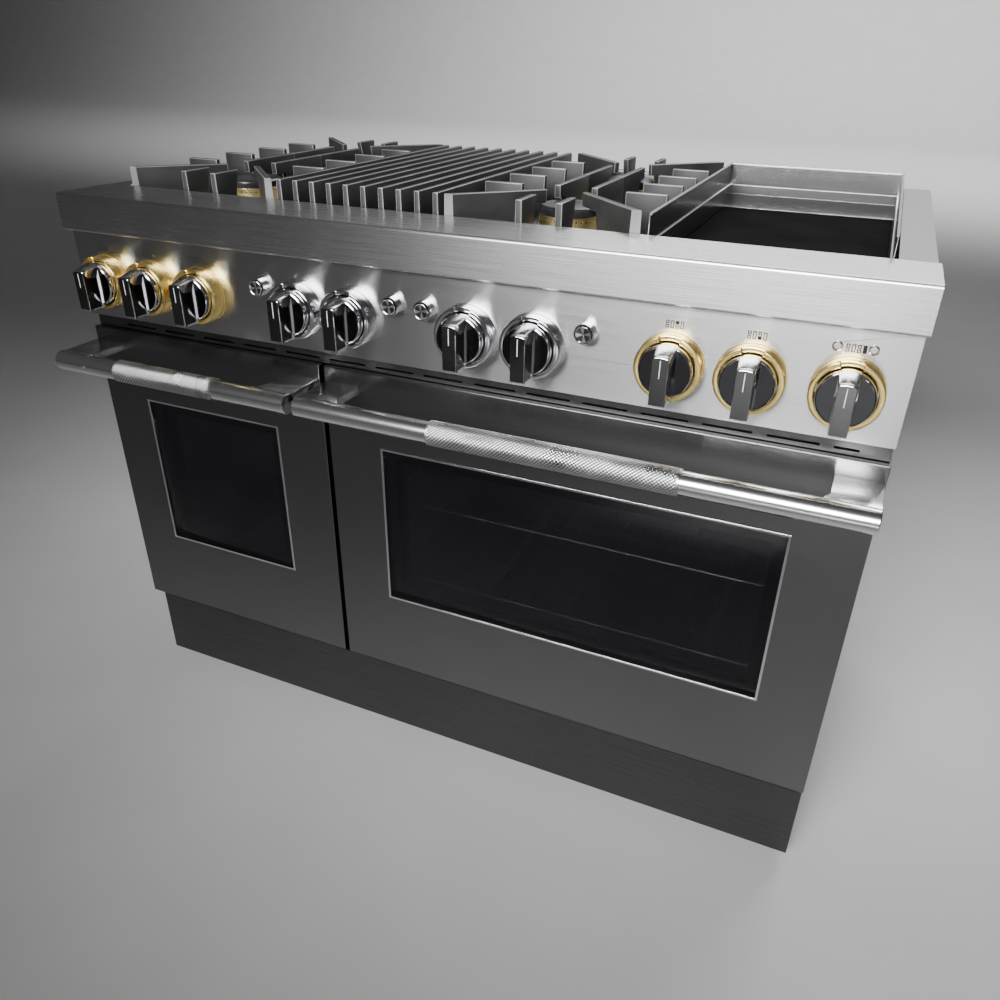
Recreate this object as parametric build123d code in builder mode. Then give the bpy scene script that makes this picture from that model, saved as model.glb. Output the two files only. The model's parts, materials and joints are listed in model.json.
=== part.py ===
from build123d import *
import os
from math import radians, sin

os.makedirs("parts", exist_ok=True)

# A freestanding gas range, 48 inches wide: two ovens side by side under a cooktop
# with four burners, a grill and a griddle. Millimetres, +X right, +Y to the rear, +Z up,
# origin on the floor under the middle of the whole box.

# ---------------------------------------------------------------- driving dimensions
NOSE_WIDTH = 1216.0  # rounded front rail of the cooktop
BODY_WIDTH = 1210.0  # doors, panels and chassis
DECK_Z = 914.0  # cooktop surface above the floor
GRATE_Z = 942.0  # top of the grates
REAR_Y = 390.0
NOSE_Y = -314.0  # front of the nose
FACE_Y = -300.0  # doors and control panel
VENT_Y = -289.0
KICK_Y = -279.0
FRAME_Y = -257.0  # front of the chassis, behind the doors
SHEET = 2.0
GAP = 0.3  # between faces that move past each other

NOSE_DEPTH = 107.0
NOSE_HEIGHT = 54.0
PANEL_BOTTOM = 727.0
VENT_BOTTOM = 706.5
DOOR_TOP = 705.5
DOOR_BOTTOM = 181.0
KICK_TOP = 160.0
KICK_BOTTOM = 29.0
BASE_Z = 40.0  # underside of the chassis

# cooktop wells, left to right: burners, grill, burners, griddle
BURNER_PAIR_X = (-428.0, 129.0)
GRILL_X = -150.5
GRIDDLE_X = 417.5
WELL_EDGES = (-568.5, -289.5, -10.5, 269.5, 565.0)
WELL_FRONT = NOSE_Y + NOSE_DEPTH
WELL_REAR = 352.0
GRIDDLE_WELL_REAR = 370.0
PAN_Z = 884.0  # floor of the burner wells
DEEP_PAN_Z = 826.0  # floor of the grill and griddle wells
RIB_Z = 896.0  # ribs between the wells

# burners
BURNER_FRONT_Y = -74.0
BURNER_REAR_Y = 220.0
HEAD_RADIUS = 44.5
HEAD_BORE = 36.0
HEAD_TOP = 908.0
PORT_RADIUS = 1.3
PORT_COUNT = 36
PORT_DROP = 6.0  # ports below the top of the head
CAP_RADIUS = 44.5
CAP_HEIGHT = 13.0

# grates
GRATE_WIDTH = 273.0
GRATE_FRONT = WELL_FRONT + 4.0
GRATE_REAR = 348.0
GRATE_MIDDLE = (BURNER_FRONT_Y + BURNER_REAR_Y) / 2
GRATE_BASE = PAN_Z + 0.2
RAIL = 9.0
RAIL_HEIGHT = 12.0
BLADE = 9.0
RELIEF_Z = 924.0  # underside of the blades where they reach over a cap
GRILL_BLADE = 8.0
GRILL_PITCH = 28.7

# griddle
GRIDDLE_Z = 871.0  # cooking surface
GRIDDLE_FRONT = WELL_FRONT + 4.5
GRIDDLE_REAR = 326.0
GUARD_REAR = 366.0

# controls
KNOB_Z = 786.0
BUTTON_Z = 811.5
GAS_KNOBS = {
    "knob_burner_left_rear": -549.0,
    "knob_burner_left_front": -459.0,
    "knob_grill": -364.0,
    "knob_burner_right_rear": 342.0,
    "knob_burner_right_front": 436.0,
    "knob_griddle": 541.0,
}
OVEN_KNOBS = {
    "knob_left_oven_mode": -193.0,
    "knob_left_oven_heat": -105.0,
    "knob_right_oven_mode": 74.0,
    "knob_right_oven_heat": 167.0,
}
BUTTONS = {
    "button_left_outer": -252.7,
    "button_left_inner": -36.4,
    "button_right_inner": 12.6,
    "button_right_outer": 235.4,
}
LAMP_X = (521.5, 558.8)
LAMP_Z = 835.5
DISC_RADIUS = 32.0
DISC_FRONT = FACE_Y - 30.0
KNOB_BACK = FACE_Y - 4.0
BLADE_FRONT = FACE_Y - 56.0
RING_OUTER = 40.0
RING_INNER = 33.5
RING_FRONT = FACE_Y - 21.0
NOTCH_DEPTH = 5.0
NOTCH_HALF_ARC = 19.0  # the notch in a ring's front, each way from straight up
STEM_RADIUS = 4.0
BUTTON_RADIUS = 11.0
BUTTON_FRONT = FACE_Y - 15.0
RUNNING = 0.08  # radial clearance of a shaft in its bore

# doors and ovens
HINGE_Y = -270.0
HINGE_Z = 196.0
HINGE_PIN = 4.0
DOOR_BACK = -262.0
SEAM_Y = -272.0  # where the door's two pans meet
HANDLE_Y = -373.0
HANDLE_Z = 671.0
HANDLE_RADIUS = 15.0
GRIP_RADIUS = 17.0
WINDOW_Z = (323.0, 592.0)
TRIM = 3.5
INNER_INSET = 22.0  # the inner window is this much smaller all round
CAVITY_Z = (235.0, 655.0)
CAVITY_REAR = 262.0
CHAMBER_REAR = 318.0
FAN_RADIUS = 66.0
FAN_SHAFT = 5.0
LEDGE = 9.0

DOORS = {
    "left": {
        "x": (-605.0, -168.0),
        "window": (-521.0, -256.0),
        "handle": (-605.0, -172.0),
        "grip": (-484.0, -300.0),
        "cavity": (-553.0, -223.0),
        "racks": {"left_oven_rack": 400.0},
    },
    "right": {
        "x": (-160.0, 605.0),
        "window": (-71.0, 517.0),
        "handle": (-157.0, 603.0),
        "grip": (54.0, 385.0),
        "cavity": (-107.0, 553.0),
        "racks": {"right_oven_lower_rack": 330.0, "right_oven_upper_rack": 470.0},
    },
}
DIVIDER_X = -164.0
LUG_INSET = 46.0  # hinge lugs, in from the door's sides
LUG_WIDTH = 4.0

# services and feet
INLET_X = -580.0
INLET_Z = 110.0
GLAND_X = 540.0
PIPE_Y = -232.0
PIPE_RADIUS = 9.0
INLET_RADIUS = 9.2  # tapping drill of a half-inch pipe thread
INLET_THREAD_DEPTH = 16.0
FOOT_PLACES = [(x, y) for x in (-560.0, 560.0) for y in (-205.0, 340.0)]


# ---------------------------------------------------------------- small helpers
def add_box(x, y, z, mode=Mode.ADD):
    """Add a box between three (low, high) pairs to the part being built."""
    centre = [sum(pair) / 2 for pair in (x, y, z)]
    size = [abs(pair[1] - pair[0]) for pair in (x, y, z)]
    with Locations(tuple(centre)):
        Box(*size, mode=mode)


def cut_box(x, y, z):
    """Cut the same kind of box away."""
    add_box(x, y, z, Mode.SUBTRACT)


def grow(pair, by):
    """Widen a (low, high) pair by the same amount at both ends."""
    return (pair[0] - by, pair[1] + by)


def mirrored(side, inner, outer):
    """The (low, high) pair between two distances from the middle, on one side of it."""
    return tuple(sorted((side * inner, side * outer)))


def add_rod(centre, radius, length, axis, mode=Mode.ADD):
    """Add a round bar, centred on a point and lying along X, Y or Z."""
    turn = {"x": (0, 90, 0), "y": (90, 0, 0), "z": (0, 0, 0)}[axis]
    with Locations(centre):
        Cylinder(radius, length, rotation=turn, mode=mode)


def save(piece, name):
    """Label a finished piece and write it as one STEP file."""
    piece.part.label = name
    export_step(piece.part, f"parts/{name}.step")


def lug_places(door):
    """The two hinge positions of a door, along X."""
    return (door["x"][0] + LUG_INSET, door["x"][1] - LUG_INSET)


# ---------------------------------------------------------------- casing
def build_side_panels():
    """Two steel side sheets, each with a folded rear flange and a row of cooling slots."""
    inner = BODY_WIDTH / 2 - SHEET
    slot_count = 7
    slot = 48.0
    slot_pitch = 70.0
    slots_y = 60.0
    slots_z = (92.0, 98.0)
    flange_z = (150.0, 880.0)
    door_relief = (KICK_TOP + 1, HINGE_Z + 10)  # where an opening door's lower edge swings through
    with BuildPart() as sides:
        for side in (-1, 1):
            across = mirrored(side, inner, BODY_WIDTH / 2)
            add_box(across, (FRAME_Y, REAR_Y - SHEET), (BASE_Z, DECK_Z - SHEET))
            cut_box(across, (FRAME_Y, FRAME_Y + 5), door_relief)
            flange = mirrored(side, inner - 16, inner)
            add_box(flange, (REAR_Y - 2 * SHEET, REAR_Y - SHEET), flange_z)
            for index in range(slot_count):
                middle = slots_y + (index - (slot_count - 1) / 2) * slot_pitch
                cut_box(across, (middle - slot / 2, middle + slot / 2), slots_z)
    save(sides, "side_panels")


def build_back_panel():
    """The rear sheet, with a gas inlet opening, a cord gland hole and two slot groups."""
    thickness = (REAR_Y - SHEET, REAR_Y)
    inlet_opening, gland_opening = 22.0, 14.0
    slot, slot_pitch, slot_height = 64.0, 90.0, 8.0
    with BuildPart() as back:
        add_box((-BODY_WIDTH / 2, BODY_WIDTH / 2), thickness, (60, DECK_Z - SHEET))
        add_rod((INLET_X, REAR_Y - SHEET / 2, INLET_Z), inlet_opening, 3 * SHEET, "y",
                Mode.SUBTRACT)
        add_rod((GLAND_X, REAR_Y - SHEET / 2, INLET_Z), gland_opening, 3 * SHEET, "y",
                Mode.SUBTRACT)
        with Locations((0, REAR_Y - SHEET / 2, 840), (0, REAR_Y - SHEET / 2, 160)):
            with GridLocations(slot_pitch, 1, 11, 1):
                Box(slot, 3 * SHEET, slot_height, mode=Mode.SUBTRACT)
    save(back, "back_panel")


def build_chassis_frame():
    """The welded frame: base pan, face frame with two oven mouths, divider and hinge lugs."""
    half = BODY_WIDTH / 2 - SHEET
    set_back = -245.0
    shelf_z = 205.0
    with BuildPart() as frame:
        add_box((-half, half), (set_back, REAR_Y - 2 * SHEET), (BASE_Z, BASE_Z + SHEET))
        add_box((-half, half), (set_back, set_back + SHEET), (BASE_Z, shelf_z + SHEET))
        add_box((-half, half), (FRAME_Y, set_back + SHEET), (shelf_z, shelf_z + SHEET))
        add_box((-half, half), (FRAME_Y, FRAME_Y + 3), (shelf_z, DOOR_TOP))
        add_box((DIVIDER_X - 1, DIVIDER_X + 1), (FRAME_Y, REAR_Y - 2 * SHEET), (BASE_Z, 690))
        for door in DOORS.values():
            mouth = grow(door["cavity"], SHEET)
            cut_box(mouth, (FRAME_Y, FRAME_Y + 3), grow(CAVITY_Z, SHEET))
            for lug_x in lug_places(door):
                lug = (lug_x - LUG_WIDTH / 2, lug_x + LUG_WIDTH / 2)
                add_box(lug, (HINGE_Y - 8, set_back), (HINGE_Z - 8, HINGE_Z + 8))
                bore = HINGE_PIN + RUNNING
                add_rod((lug_x, HINGE_Y, HINGE_Z), bore, 2 * LUG_WIDTH, "x", Mode.SUBTRACT)
        for foot_x, foot_y in FOOT_PLACES:
            add_rod((foot_x, foot_y, BASE_Z), 9, 4 * SHEET, "z", Mode.SUBTRACT)
    save(frame, "chassis_frame")


def build_kick_panel():
    """The toe panel under the doors, folded back along its top and both ends."""
    half = BODY_WIDTH / 2
    top_fold = 16.0
    with BuildPart() as kick:
        add_box((-half, half), (KICK_Y, KICK_Y + SHEET), (KICK_BOTTOM, KICK_TOP))
        add_box((-half, half), (KICK_Y, KICK_Y + top_fold), (KICK_TOP - SHEET, KICK_TOP))
        for side in (-1, 1):
            add_box(mirrored(side, half - SHEET, half), (KICK_Y, FRAME_Y), (KICK_BOTTOM, KICK_TOP))
        front_corners = kick.edges().filter_by(Axis.Z).group_by(Axis.Y)[0]
        fillet(front_corners, 1.5)
    save(kick, "kick_panel")


def build_levelling_feet():
    """Four threaded feet: a round pad, a hexagon to turn it by and a stem in the base pan."""
    pad_radius, pad_height = 23.0, 10.0
    hexagon_radius, hexagon_height = 14.0, 8.0
    stem_radius, stem_top = 8.0, 70.0
    stem_bottom = pad_height + hexagon_height
    with BuildPart() as feet:
        for foot_x, foot_y in FOOT_PLACES:
            add_rod((foot_x, foot_y, pad_height / 2), pad_radius, pad_height, "z")
            stem = (foot_x, foot_y, (stem_bottom + stem_top) / 2)
            add_rod(stem, stem_radius, stem_top - stem_bottom, "z")
        with BuildSketch(Plane.XY.offset(pad_height)):
            with Locations(*FOOT_PLACES):
                RegularPolygon(hexagon_radius, 6)
        extrude(amount=hexagon_height)
    save(feet, "levelling_feet")


def build_bullnose():
    """The front rail of the cooktop: a folded steel shell with a rounded front edge."""
    half = NOSE_WIDTH / 2
    rear = NOSE_Y + NOSE_DEPTH
    bottom = DECK_Z - NOSE_HEIGHT
    with BuildPart() as nose:
        add_box((-half, half), (NOSE_Y, rear), (bottom, DECK_Z))
        top_front = nose.edges().filter_by(Axis.X).group_by(Axis.Y)[0].sort_by(Axis.Z)[-1]
        fillet(top_front, 4)
        low_front = nose.edges().filter_by(Axis.X).group_by(Axis.Y)[0].sort_by(Axis.Z)[0]
        fillet(low_front, 3)
        inside = (-half + SHEET, half - SHEET)
        cut_box(inside, (NOSE_Y + SHEET, rear - SHEET), (bottom + SHEET, DECK_Z - SHEET))
        cut_box(inside, (FACE_Y + 8, rear), (bottom, bottom + SHEET))
        cut_box(inside, (rear - SHEET, rear), (bottom, DECK_Z - 22))
        for side in (-1, 1):
            side_panel = mirrored(side, BODY_WIDTH / 2 - SHEET, half - SHEET)
            cut_box(side_panel, (rear - SHEET, rear), (bottom, DECK_Z - SHEET))
    save(nose, "bullnose")


def build_control_panel():
    """The fascia that carries the knobs and buttons, folded at its ends and bottom."""
    half = BODY_WIDTH / 2
    top = DECK_Z - NOSE_HEIGHT
    bottom_fold = 24.0
    stem_hole, lamp_hole = 8.0, 4.0
    with BuildPart() as fascia:
        add_box((-half, half), (FACE_Y, FACE_Y + SHEET), (PANEL_BOTTOM, top))
        add_box((-half, half), (FACE_Y, FACE_Y + bottom_fold), (PANEL_BOTTOM, PANEL_BOTTOM + SHEET))
        for side in (-1, 1):
            add_box(mirrored(side, half - SHEET, half), (FACE_Y, FRAME_Y), (PANEL_BOTTOM, top))
        for knob_x in (*GAS_KNOBS.values(), *OVEN_KNOBS.values()):
            add_rod((knob_x, FACE_Y, KNOB_Z), stem_hole, 6 * SHEET, "y", Mode.SUBTRACT)
        for button_x in BUTTONS.values():
            add_rod((button_x, FACE_Y, BUTTON_Z), BUTTON_RADIUS + 0.4, 6 * SHEET, "y", Mode.SUBTRACT)
        for lamp_x in LAMP_X:
            add_rod((lamp_x, FACE_Y, LAMP_Z), lamp_hole, 6 * SHEET, "y", Mode.SUBTRACT)
    save(fascia, "control_panel")


def build_vent_strip():
    """The recessed strip between the control panel and the doors, with cooling slots."""
    half = BODY_WIDTH / 2 - SHEET
    slot = 60.0
    slot_pitch = 77.5
    slots_z = VENT_BOTTOM + 6.5
    with BuildPart() as strip:
        add_box((-half, half), (VENT_Y, VENT_Y + SHEET), (VENT_BOTTOM, PANEL_BOTTOM))
        add_box((-half, half), (VENT_Y, FRAME_Y), (VENT_BOTTOM, VENT_BOTTOM + SHEET))
        with Locations((-8.75, VENT_Y + SHEET / 2, slots_z)):
            with GridLocations(slot_pitch, 1, 14, 1):
                Box(slot, 3 * SHEET, 3, mode=Mode.SUBTRACT)
        cut_box((half - 62, half - 34), (VENT_Y, VENT_Y + SHEET), (slots_z - 1.5, slots_z + 1.5))
    save(strip, "vent_strip")


# ---------------------------------------------------------------- cooktop
def build_cooktop_deck():
    """The pressed deck: a flat rim around four wells, with burner holes and flue slots."""
    half = BODY_WIDTH / 2
    floors = (PAN_Z, DEEP_PAN_Z, PAN_Z, DEEP_PAN_Z)
    rears = (WELL_REAR, WELL_REAR, WELL_REAR, GRIDDLE_WELL_REAR)
    wells = list(zip(WELL_EDGES[:-1], WELL_EDGES[1:], floors, rears))
    burner_hole = 32.0
    flue_y = 380.0
    with BuildPart() as deck:
        add_box((-half, half), (WELL_FRONT, REAR_Y), (DECK_Z - SHEET, DECK_Z))
        for left, right, floor, rear in wells:
            add_box((left - 1, right + 1), (WELL_FRONT, rear + SHEET), (floor - SHEET, DECK_Z))
        for left, right, floor, rear in wells:
            cut_box((left + 1, right - 1), (WELL_FRONT + SHEET, rear), (floor, DECK_Z))
        for edge in WELL_EDGES[1:-1]:
            cut_box((edge - 1, edge + 1), (WELL_FRONT + SHEET, WELL_REAR), (RIB_Z, DECK_Z))
        for centre in BURNER_PAIR_X:
            for burner_y in (BURNER_FRONT_Y, BURNER_REAR_Y):
                add_rod((centre, burner_y, PAN_Z), burner_hole, 5 * SHEET, "z", Mode.SUBTRACT)
        with Locations((0, flue_y, DECK_Z - SHEET / 2)):
            with GridLocations(76, 1, 14, 1):
                Box(58, 6, 3 * SHEET, mode=Mode.SUBTRACT)
    save(deck, "cooktop_deck")


def build_burner_heads():
    """Four brass burner heads: a ported ring on a solid foot that drops into the deck."""
    foot_radius = 31.0
    foot = (860.0, 890.0)
    ring_bottom = PAN_Z + 5
    with BuildPart() as heads:
        for centre in BURNER_PAIR_X:
            for burner_y in (BURNER_FRONT_Y, BURNER_REAR_Y):
                add_rod((centre, burner_y, sum(foot) / 2), foot_radius, foot[1] - foot[0], "z")
                ring_middle = (centre, burner_y, (ring_bottom + HEAD_TOP) / 2)
                add_rod(ring_middle, HEAD_RADIUS, HEAD_TOP - ring_bottom, "z")
                with Locations((centre, burner_y, HEAD_TOP)):
                    Cylinder(HEAD_BORE, 3 * PORT_DROP, mode=Mode.SUBTRACT)
                with Locations((centre, burner_y, HEAD_TOP - PORT_DROP)):
                    with PolarLocations((HEAD_BORE + HEAD_RADIUS) / 2, PORT_COUNT):
                        Cylinder(PORT_RADIUS, 12, rotation=(0, 90, 0), mode=Mode.SUBTRACT)
    save(heads, "burner_heads")


def build_burner_cap(name, centre, burner_y):
    """A domed enamelled cap with a skirt that locates it inside the burner ring."""
    seat = HEAD_TOP + 0.2
    skirt = 5.0
    dome_round = 7.0
    with BuildPart() as cap:
        with Locations((centre, burner_y, seat + CAP_HEIGHT / 2)):
            Cylinder(CAP_RADIUS, CAP_HEIGHT)
        fillet(cap.edges().group_by(Axis.Z)[-1], dome_round)
        add_rod((centre, burner_y, seat - skirt / 2), HEAD_BORE - 0.5, skirt, "z")
    save(cap, name)


def add_blade(start, angle, foot_run, top_run, relief=0):
    """One upright grate blade from a point on the frame, as long below as foot_run says.
    relief is how much of its far end is cut away below, to clear a burner cap."""
    plane = Plane(origin=(*start, 0), x_dir=Vector(1, 0, 0).rotate(Axis.Z, angle),
                  z_dir=Vector(0, -1, 0).rotate(Axis.Z, angle))
    profile = [(0, GRATE_BASE), (0, GRATE_Z), (top_run, GRATE_Z)]
    if relief:
        profile += [(top_run - 1, RELIEF_Z), (top_run - relief, RELIEF_Z)]
    profile += [(foot_run, GRATE_BASE)]
    with BuildPart(mode=Mode.PRIVATE) as blade:
        with BuildSketch(plane):
            Polygon(*profile, align=None)
        extrude(amount=BLADE / 2, both=True)
    return blade.part


def grate_blades(centre, front, middle, burner_y):
    """All blades of the casting over one burner, from its outer rail to its inner rail."""
    towards = 1 if middle > front else -1
    turn = 90 * towards
    overrun = 8.0  # the diagonals start outside the casting and are trimmed to it
    finger = 54.0
    pair = 28.0  # fingers and bars stand in pairs, this far each side of the middle
    blades = []
    for side in (-1, 1):
        corner = Vector(centre + side * (GRATE_WIDTH / 2 - 6.5), front, 0)
        inner = Vector(centre + side * (pair + 1), burner_y - towards * 26, 0)
        reach = inner - corner
        start = corner - reach.normalized() * overrun
        run = reach.length + overrun
        heading = Axis.X.direction.get_signed_angle(reach, Vector(0, 0, 1))
        blades.append(add_blade((start.X, start.Y), heading, run - 52, run, 45))
        front_root = (centre + side * pair, front)
        blades.append(add_blade(front_root, turn, finger - 16, finger))
        bar = (centre + side * pair, middle)
        bar_run = abs(middle - burner_y) - 18
        blades.append(add_blade(bar, -turn, bar_run - 36, bar_run, 28))
        for finger_y in (burner_y + towards * 8, middle - towards * 46):
            root = (centre + side * GRATE_WIDTH / 2, finger_y)
            blades.append(add_blade(root, 90 + side * 90, finger + 3, finger + 5))
    return blades


def build_burner_grate(name, centre, front, middle, burner_y):
    """A lift-off cast-iron grate: a low rectangular frame that carries upright blades."""
    rails_y = tuple(sorted((front, middle)))
    rails_x = (centre - GRATE_WIDTH / 2, centre + GRATE_WIDTH / 2)
    with BuildPart() as grate:
        add_box(rails_x, rails_y, (GRATE_BASE, GRATE_BASE + RAIL_HEIGHT))
        cut_box(grow(rails_x, -RAIL), grow(rails_y, -RAIL), (GRATE_BASE, GRATE_BASE + RAIL_HEIGHT))
        add(grate_blades(centre, front, middle, burner_y))
        add_box(rails_x, rails_y, (GRATE_BASE, GRATE_Z), Mode.INTERSECT)
    save(grate, name)


def build_grill_grate():
    """The lift-off grill grate: ten parallel blades tied by three low cross bars."""
    blade_z = (GRATE_Z - 44, GRATE_Z)
    tie = 12.0
    ends = (GRATE_FRONT, GRATE_REAR - 5)
    half = GRATE_WIDTH / 2
    middle = sum(ends) / 2
    with BuildPart() as grill:
        with Locations((GRILL_X, middle, sum(blade_z) / 2)):
            with GridLocations(GRILL_PITCH, 1, 10, 1):
                Box(GRILL_BLADE, ends[1] - ends[0], blade_z[1] - blade_z[0])
        for tie_y in (ends[0] + tie / 2, middle, ends[1] - tie / 2):
            across = (GRILL_X - half, GRILL_X + half)
            add_box(across, (tie_y - tie / 2, tie_y + tie / 2), (RIB_Z + 0.2, RIB_Z + tie))
    save(grill, "grill_grate")


def build_griddle_plate():
    """The thick griddle plate with a grease trough across its front."""
    plate_x = (GRIDDLE_X - 138, GRIDDLE_X + 138)
    thickness = 12.0
    trough_y = (GRIDDLE_FRONT + 4, GRIDDLE_FRONT + 22)
    trough_depth = 9.0
    with BuildPart() as plate:
        add_box(plate_x, (GRIDDLE_FRONT, GRIDDLE_REAR), (GRIDDLE_Z - thickness, GRIDDLE_Z))
        cut_box(grow(plate_x, -6), trough_y, (GRIDDLE_Z - trough_depth, GRIDDLE_Z))
    save(plate, "griddle_plate")


def build_griddle_guard():
    """The thin steel guard round three sides of the griddle, with a ramp behind the plate."""
    outer = (GRIDDLE_X - 142, GRIDDLE_X + 142)
    top = GRATE_Z - 2
    step_z = DECK_Z - 10  # fold line round the guard
    front = GRIDDLE_FRONT - 1
    rear = GUARD_REAR
    with BuildPart() as guard:
        add_box(outer, (front, rear), (GRIDDLE_Z - 12, step_z))
        cut_box(grow(outer, -3.5), (front, rear - 3), (GRIDDLE_Z - 12, step_z))
        add_box(outer, (front, rear), (step_z, top))
        cut_box(grow(outer, -1.5), (front, rear - 1.5), (step_z, top))
        with BuildSketch(Plane.YZ.offset(GRIDDLE_X)):
            Polygon((GRIDDLE_REAR + 0.5, GRIDDLE_Z - 6), (GRIDDLE_REAR + 0.5, GRIDDLE_Z + 1),
                    (rear - 3, GRIDDLE_Z + 18), (rear - 3, GRIDDLE_Z + 11), align=None)
        extrude(amount=138.5, both=True)
    save(guard, "griddle_guard")


# ---------------------------------------------------------------- gas parts
def build_tube_burners():
    """Four U-shaped tube burners: under the grill, under the griddle and one in each oven."""
    radius = 10
    left = DOORS["left"]["cavity"]
    right = DOORS["right"]["cavity"]
    places = [
        (GRILL_X, 60, -150, 300, DEEP_PAN_Z + 16),
        (GRIDDLE_X, 70, -150, 300, DEEP_PAN_Z + 16),
        (sum(left) / 2, 90, -200, 200, CAVITY_Z[0] + 16),
        (sum(right) / 2, 200, -200, 200, CAVITY_Z[0] + 16),
    ]
    with BuildPart() as burners:
        for centre, spread, front, rear, height in places:
            with BuildLine(Plane.XY.offset(height)) as loop:
                FilletPolyline((centre - spread, rear), (centre - spread, front),
                               (centre + spread, front), (centre + spread, rear), radius=30)
            with BuildSketch(Plane(origin=loop.line @ 0, z_dir=loop.line % 0)):
                Circle(radius)
            sweep(path=loop.line)
            add_box((centre - spread, centre + spread), (rear - 20, rear - 14),
                    (height - radius - 6, height - radius + 4))
    save(burners, "tube_burners")


def build_gas_manifold():
    """The gas pipe: along the front behind the valves, back on the left and down to the inlet."""
    drop_y = 355.0
    run_end = 570.0
    with BuildPart() as manifold:
        add_rod(((INLET_X + run_end) / 2, PIPE_Y, KNOB_Z), PIPE_RADIUS, run_end - INLET_X, "x")
        add_rod((INLET_X, (PIPE_Y + drop_y) / 2, KNOB_Z), PIPE_RADIUS, drop_y - PIPE_Y, "y")
        add_rod((INLET_X, drop_y, (KNOB_Z + INLET_Z) / 2), PIPE_RADIUS, KNOB_Z - INLET_Z, "z")
        with Locations((INLET_X, PIPE_Y, KNOB_Z), (INLET_X, drop_y, KNOB_Z)):
            Sphere(PIPE_RADIUS + 2)
        add_rod((INLET_X, (drop_y + REAR_Y - 14) / 2, INLET_Z), 15, REAR_Y + 14 - drop_y, "y")
        depth = INLET_THREAD_DEPTH
        add_rod((INLET_X, REAR_Y - depth / 2, INLET_Z), INLET_RADIUS, depth, "y", Mode.SUBTRACT)
    save(manifold, "gas_manifold")


def build_gas_valves():
    """Six gas valves and four oven selectors, each with the stem that carries its knob."""
    stem_front = DISC_FRONT + 6
    body_front = FACE_Y + 6
    valve_back = PIPE_Y - PIPE_RADIUS - 0.2
    selector_back = body_front + 34
    selector_radius = 20.0
    half_width, half_height = 12.0, 14.0
    with BuildPart() as valves:
        for knob_x in GAS_KNOBS.values():
            across = (knob_x - half_width, knob_x + half_width)
            add_box(across, (body_front, valve_back), (KNOB_Z - half_height, KNOB_Z + half_height))
            stem = (knob_x, (stem_front + body_front) / 2, KNOB_Z)
            add_rod(stem, STEM_RADIUS, body_front - stem_front, "y")
        for knob_x in OVEN_KNOBS.values():
            body = (knob_x, (body_front + selector_back) / 2, KNOB_Z)
            add_rod(body, selector_radius, selector_back - body_front, "y")
            stem = (knob_x, (stem_front + body_front) / 2, KNOB_Z)
            add_rod(stem, STEM_RADIUS, body_front - stem_front, "y")
    save(valves, "gas_valves")


# ---------------------------------------------------------------- ovens
def build_oven_liner(side, door):
    """One oven: cavity with rack ledges, rear baffle with air holes, and the fan chamber."""
    mouth = door["cavity"]
    centre = (sum(mouth) / 2, sum(CAVITY_Z) / 2)
    chamber_x = (centre[0] - FAN_RADIUS - 20, centre[0] + FAN_RADIUS + 20)
    chamber_z = (centre[1] - FAN_RADIUS - 20, centre[1] + FAN_RADIUS + 20)
    baffle = (CAVITY_REAR, CAVITY_REAR + SHEET)
    with BuildPart() as liner:
        add_box(grow(mouth, SHEET), (FRAME_Y - SHEET, baffle[1]), grow(CAVITY_Z, SHEET))
        add_box(grow(mouth, 16), (FRAME_Y - SHEET, FRAME_Y), grow(CAVITY_Z, 16))
        cut_box(mouth, (FRAME_Y - SHEET, baffle[0]), CAVITY_Z)
        add_box(grow(chamber_x, SHEET), (baffle[1], CHAMBER_REAR + SHEET), grow(chamber_z, SHEET))
        cut_box(chamber_x, (baffle[1], CHAMBER_REAR), chamber_z)
        with Locations(Plane(origin=(centre[0], CAVITY_REAR + SHEET / 2, centre[1]), z_dir=(0, -1, 0))):
            with PolarLocations(40, 10):
                Cylinder(8, 3 * SHEET, mode=Mode.SUBTRACT)
            with PolarLocations(66, 18):
                Cylinder(6, 3 * SHEET, mode=Mode.SUBTRACT)
        shaft = (centre[0], CHAMBER_REAR + SHEET / 2, centre[1])
        add_rod(shaft, FAN_SHAFT + RUNNING, 3 * SHEET, "y", Mode.SUBTRACT)
        for rack_z in door["racks"].values():
            for wall, inwards in ((mouth[0], 1), (mouth[1], -1)):
                ledge = tuple(sorted((wall, wall + inwards * LEDGE)))
                add_box(ledge, (FRAME_Y + 17, CAVITY_REAR - 7), (rack_z - 4, rack_z))
    save(liner, f"oven_liner_{side}")


def build_convection_fan(side, door):
    """The fan wheel behind the rear baffle: back disc, radial blades, hub and shaft."""
    centre_x = sum(door["cavity"]) / 2
    centre_z = sum(CAVITY_Z) / 2
    with BuildPart() as fan:
        with Locations(Plane(origin=(centre_x, CHAMBER_REAR - 14, centre_z), z_dir=(0, -1, 0))):
            Cylinder(FAN_RADIUS, 2)
            Cylinder(13, 26, align=(Align.CENTER, Align.CENTER, Align.MIN))
            with PolarLocations(FAN_RADIUS / 2 + 5, 12):
                Box(48, 1.6, 22, align=(Align.CENTER, Align.CENTER, Align.MIN))
            Cylinder(FAN_SHAFT, 40, align=(Align.CENTER, Align.CENTER, Align.MAX))
    save(fan, f"convection_fan_{side}")


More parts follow.
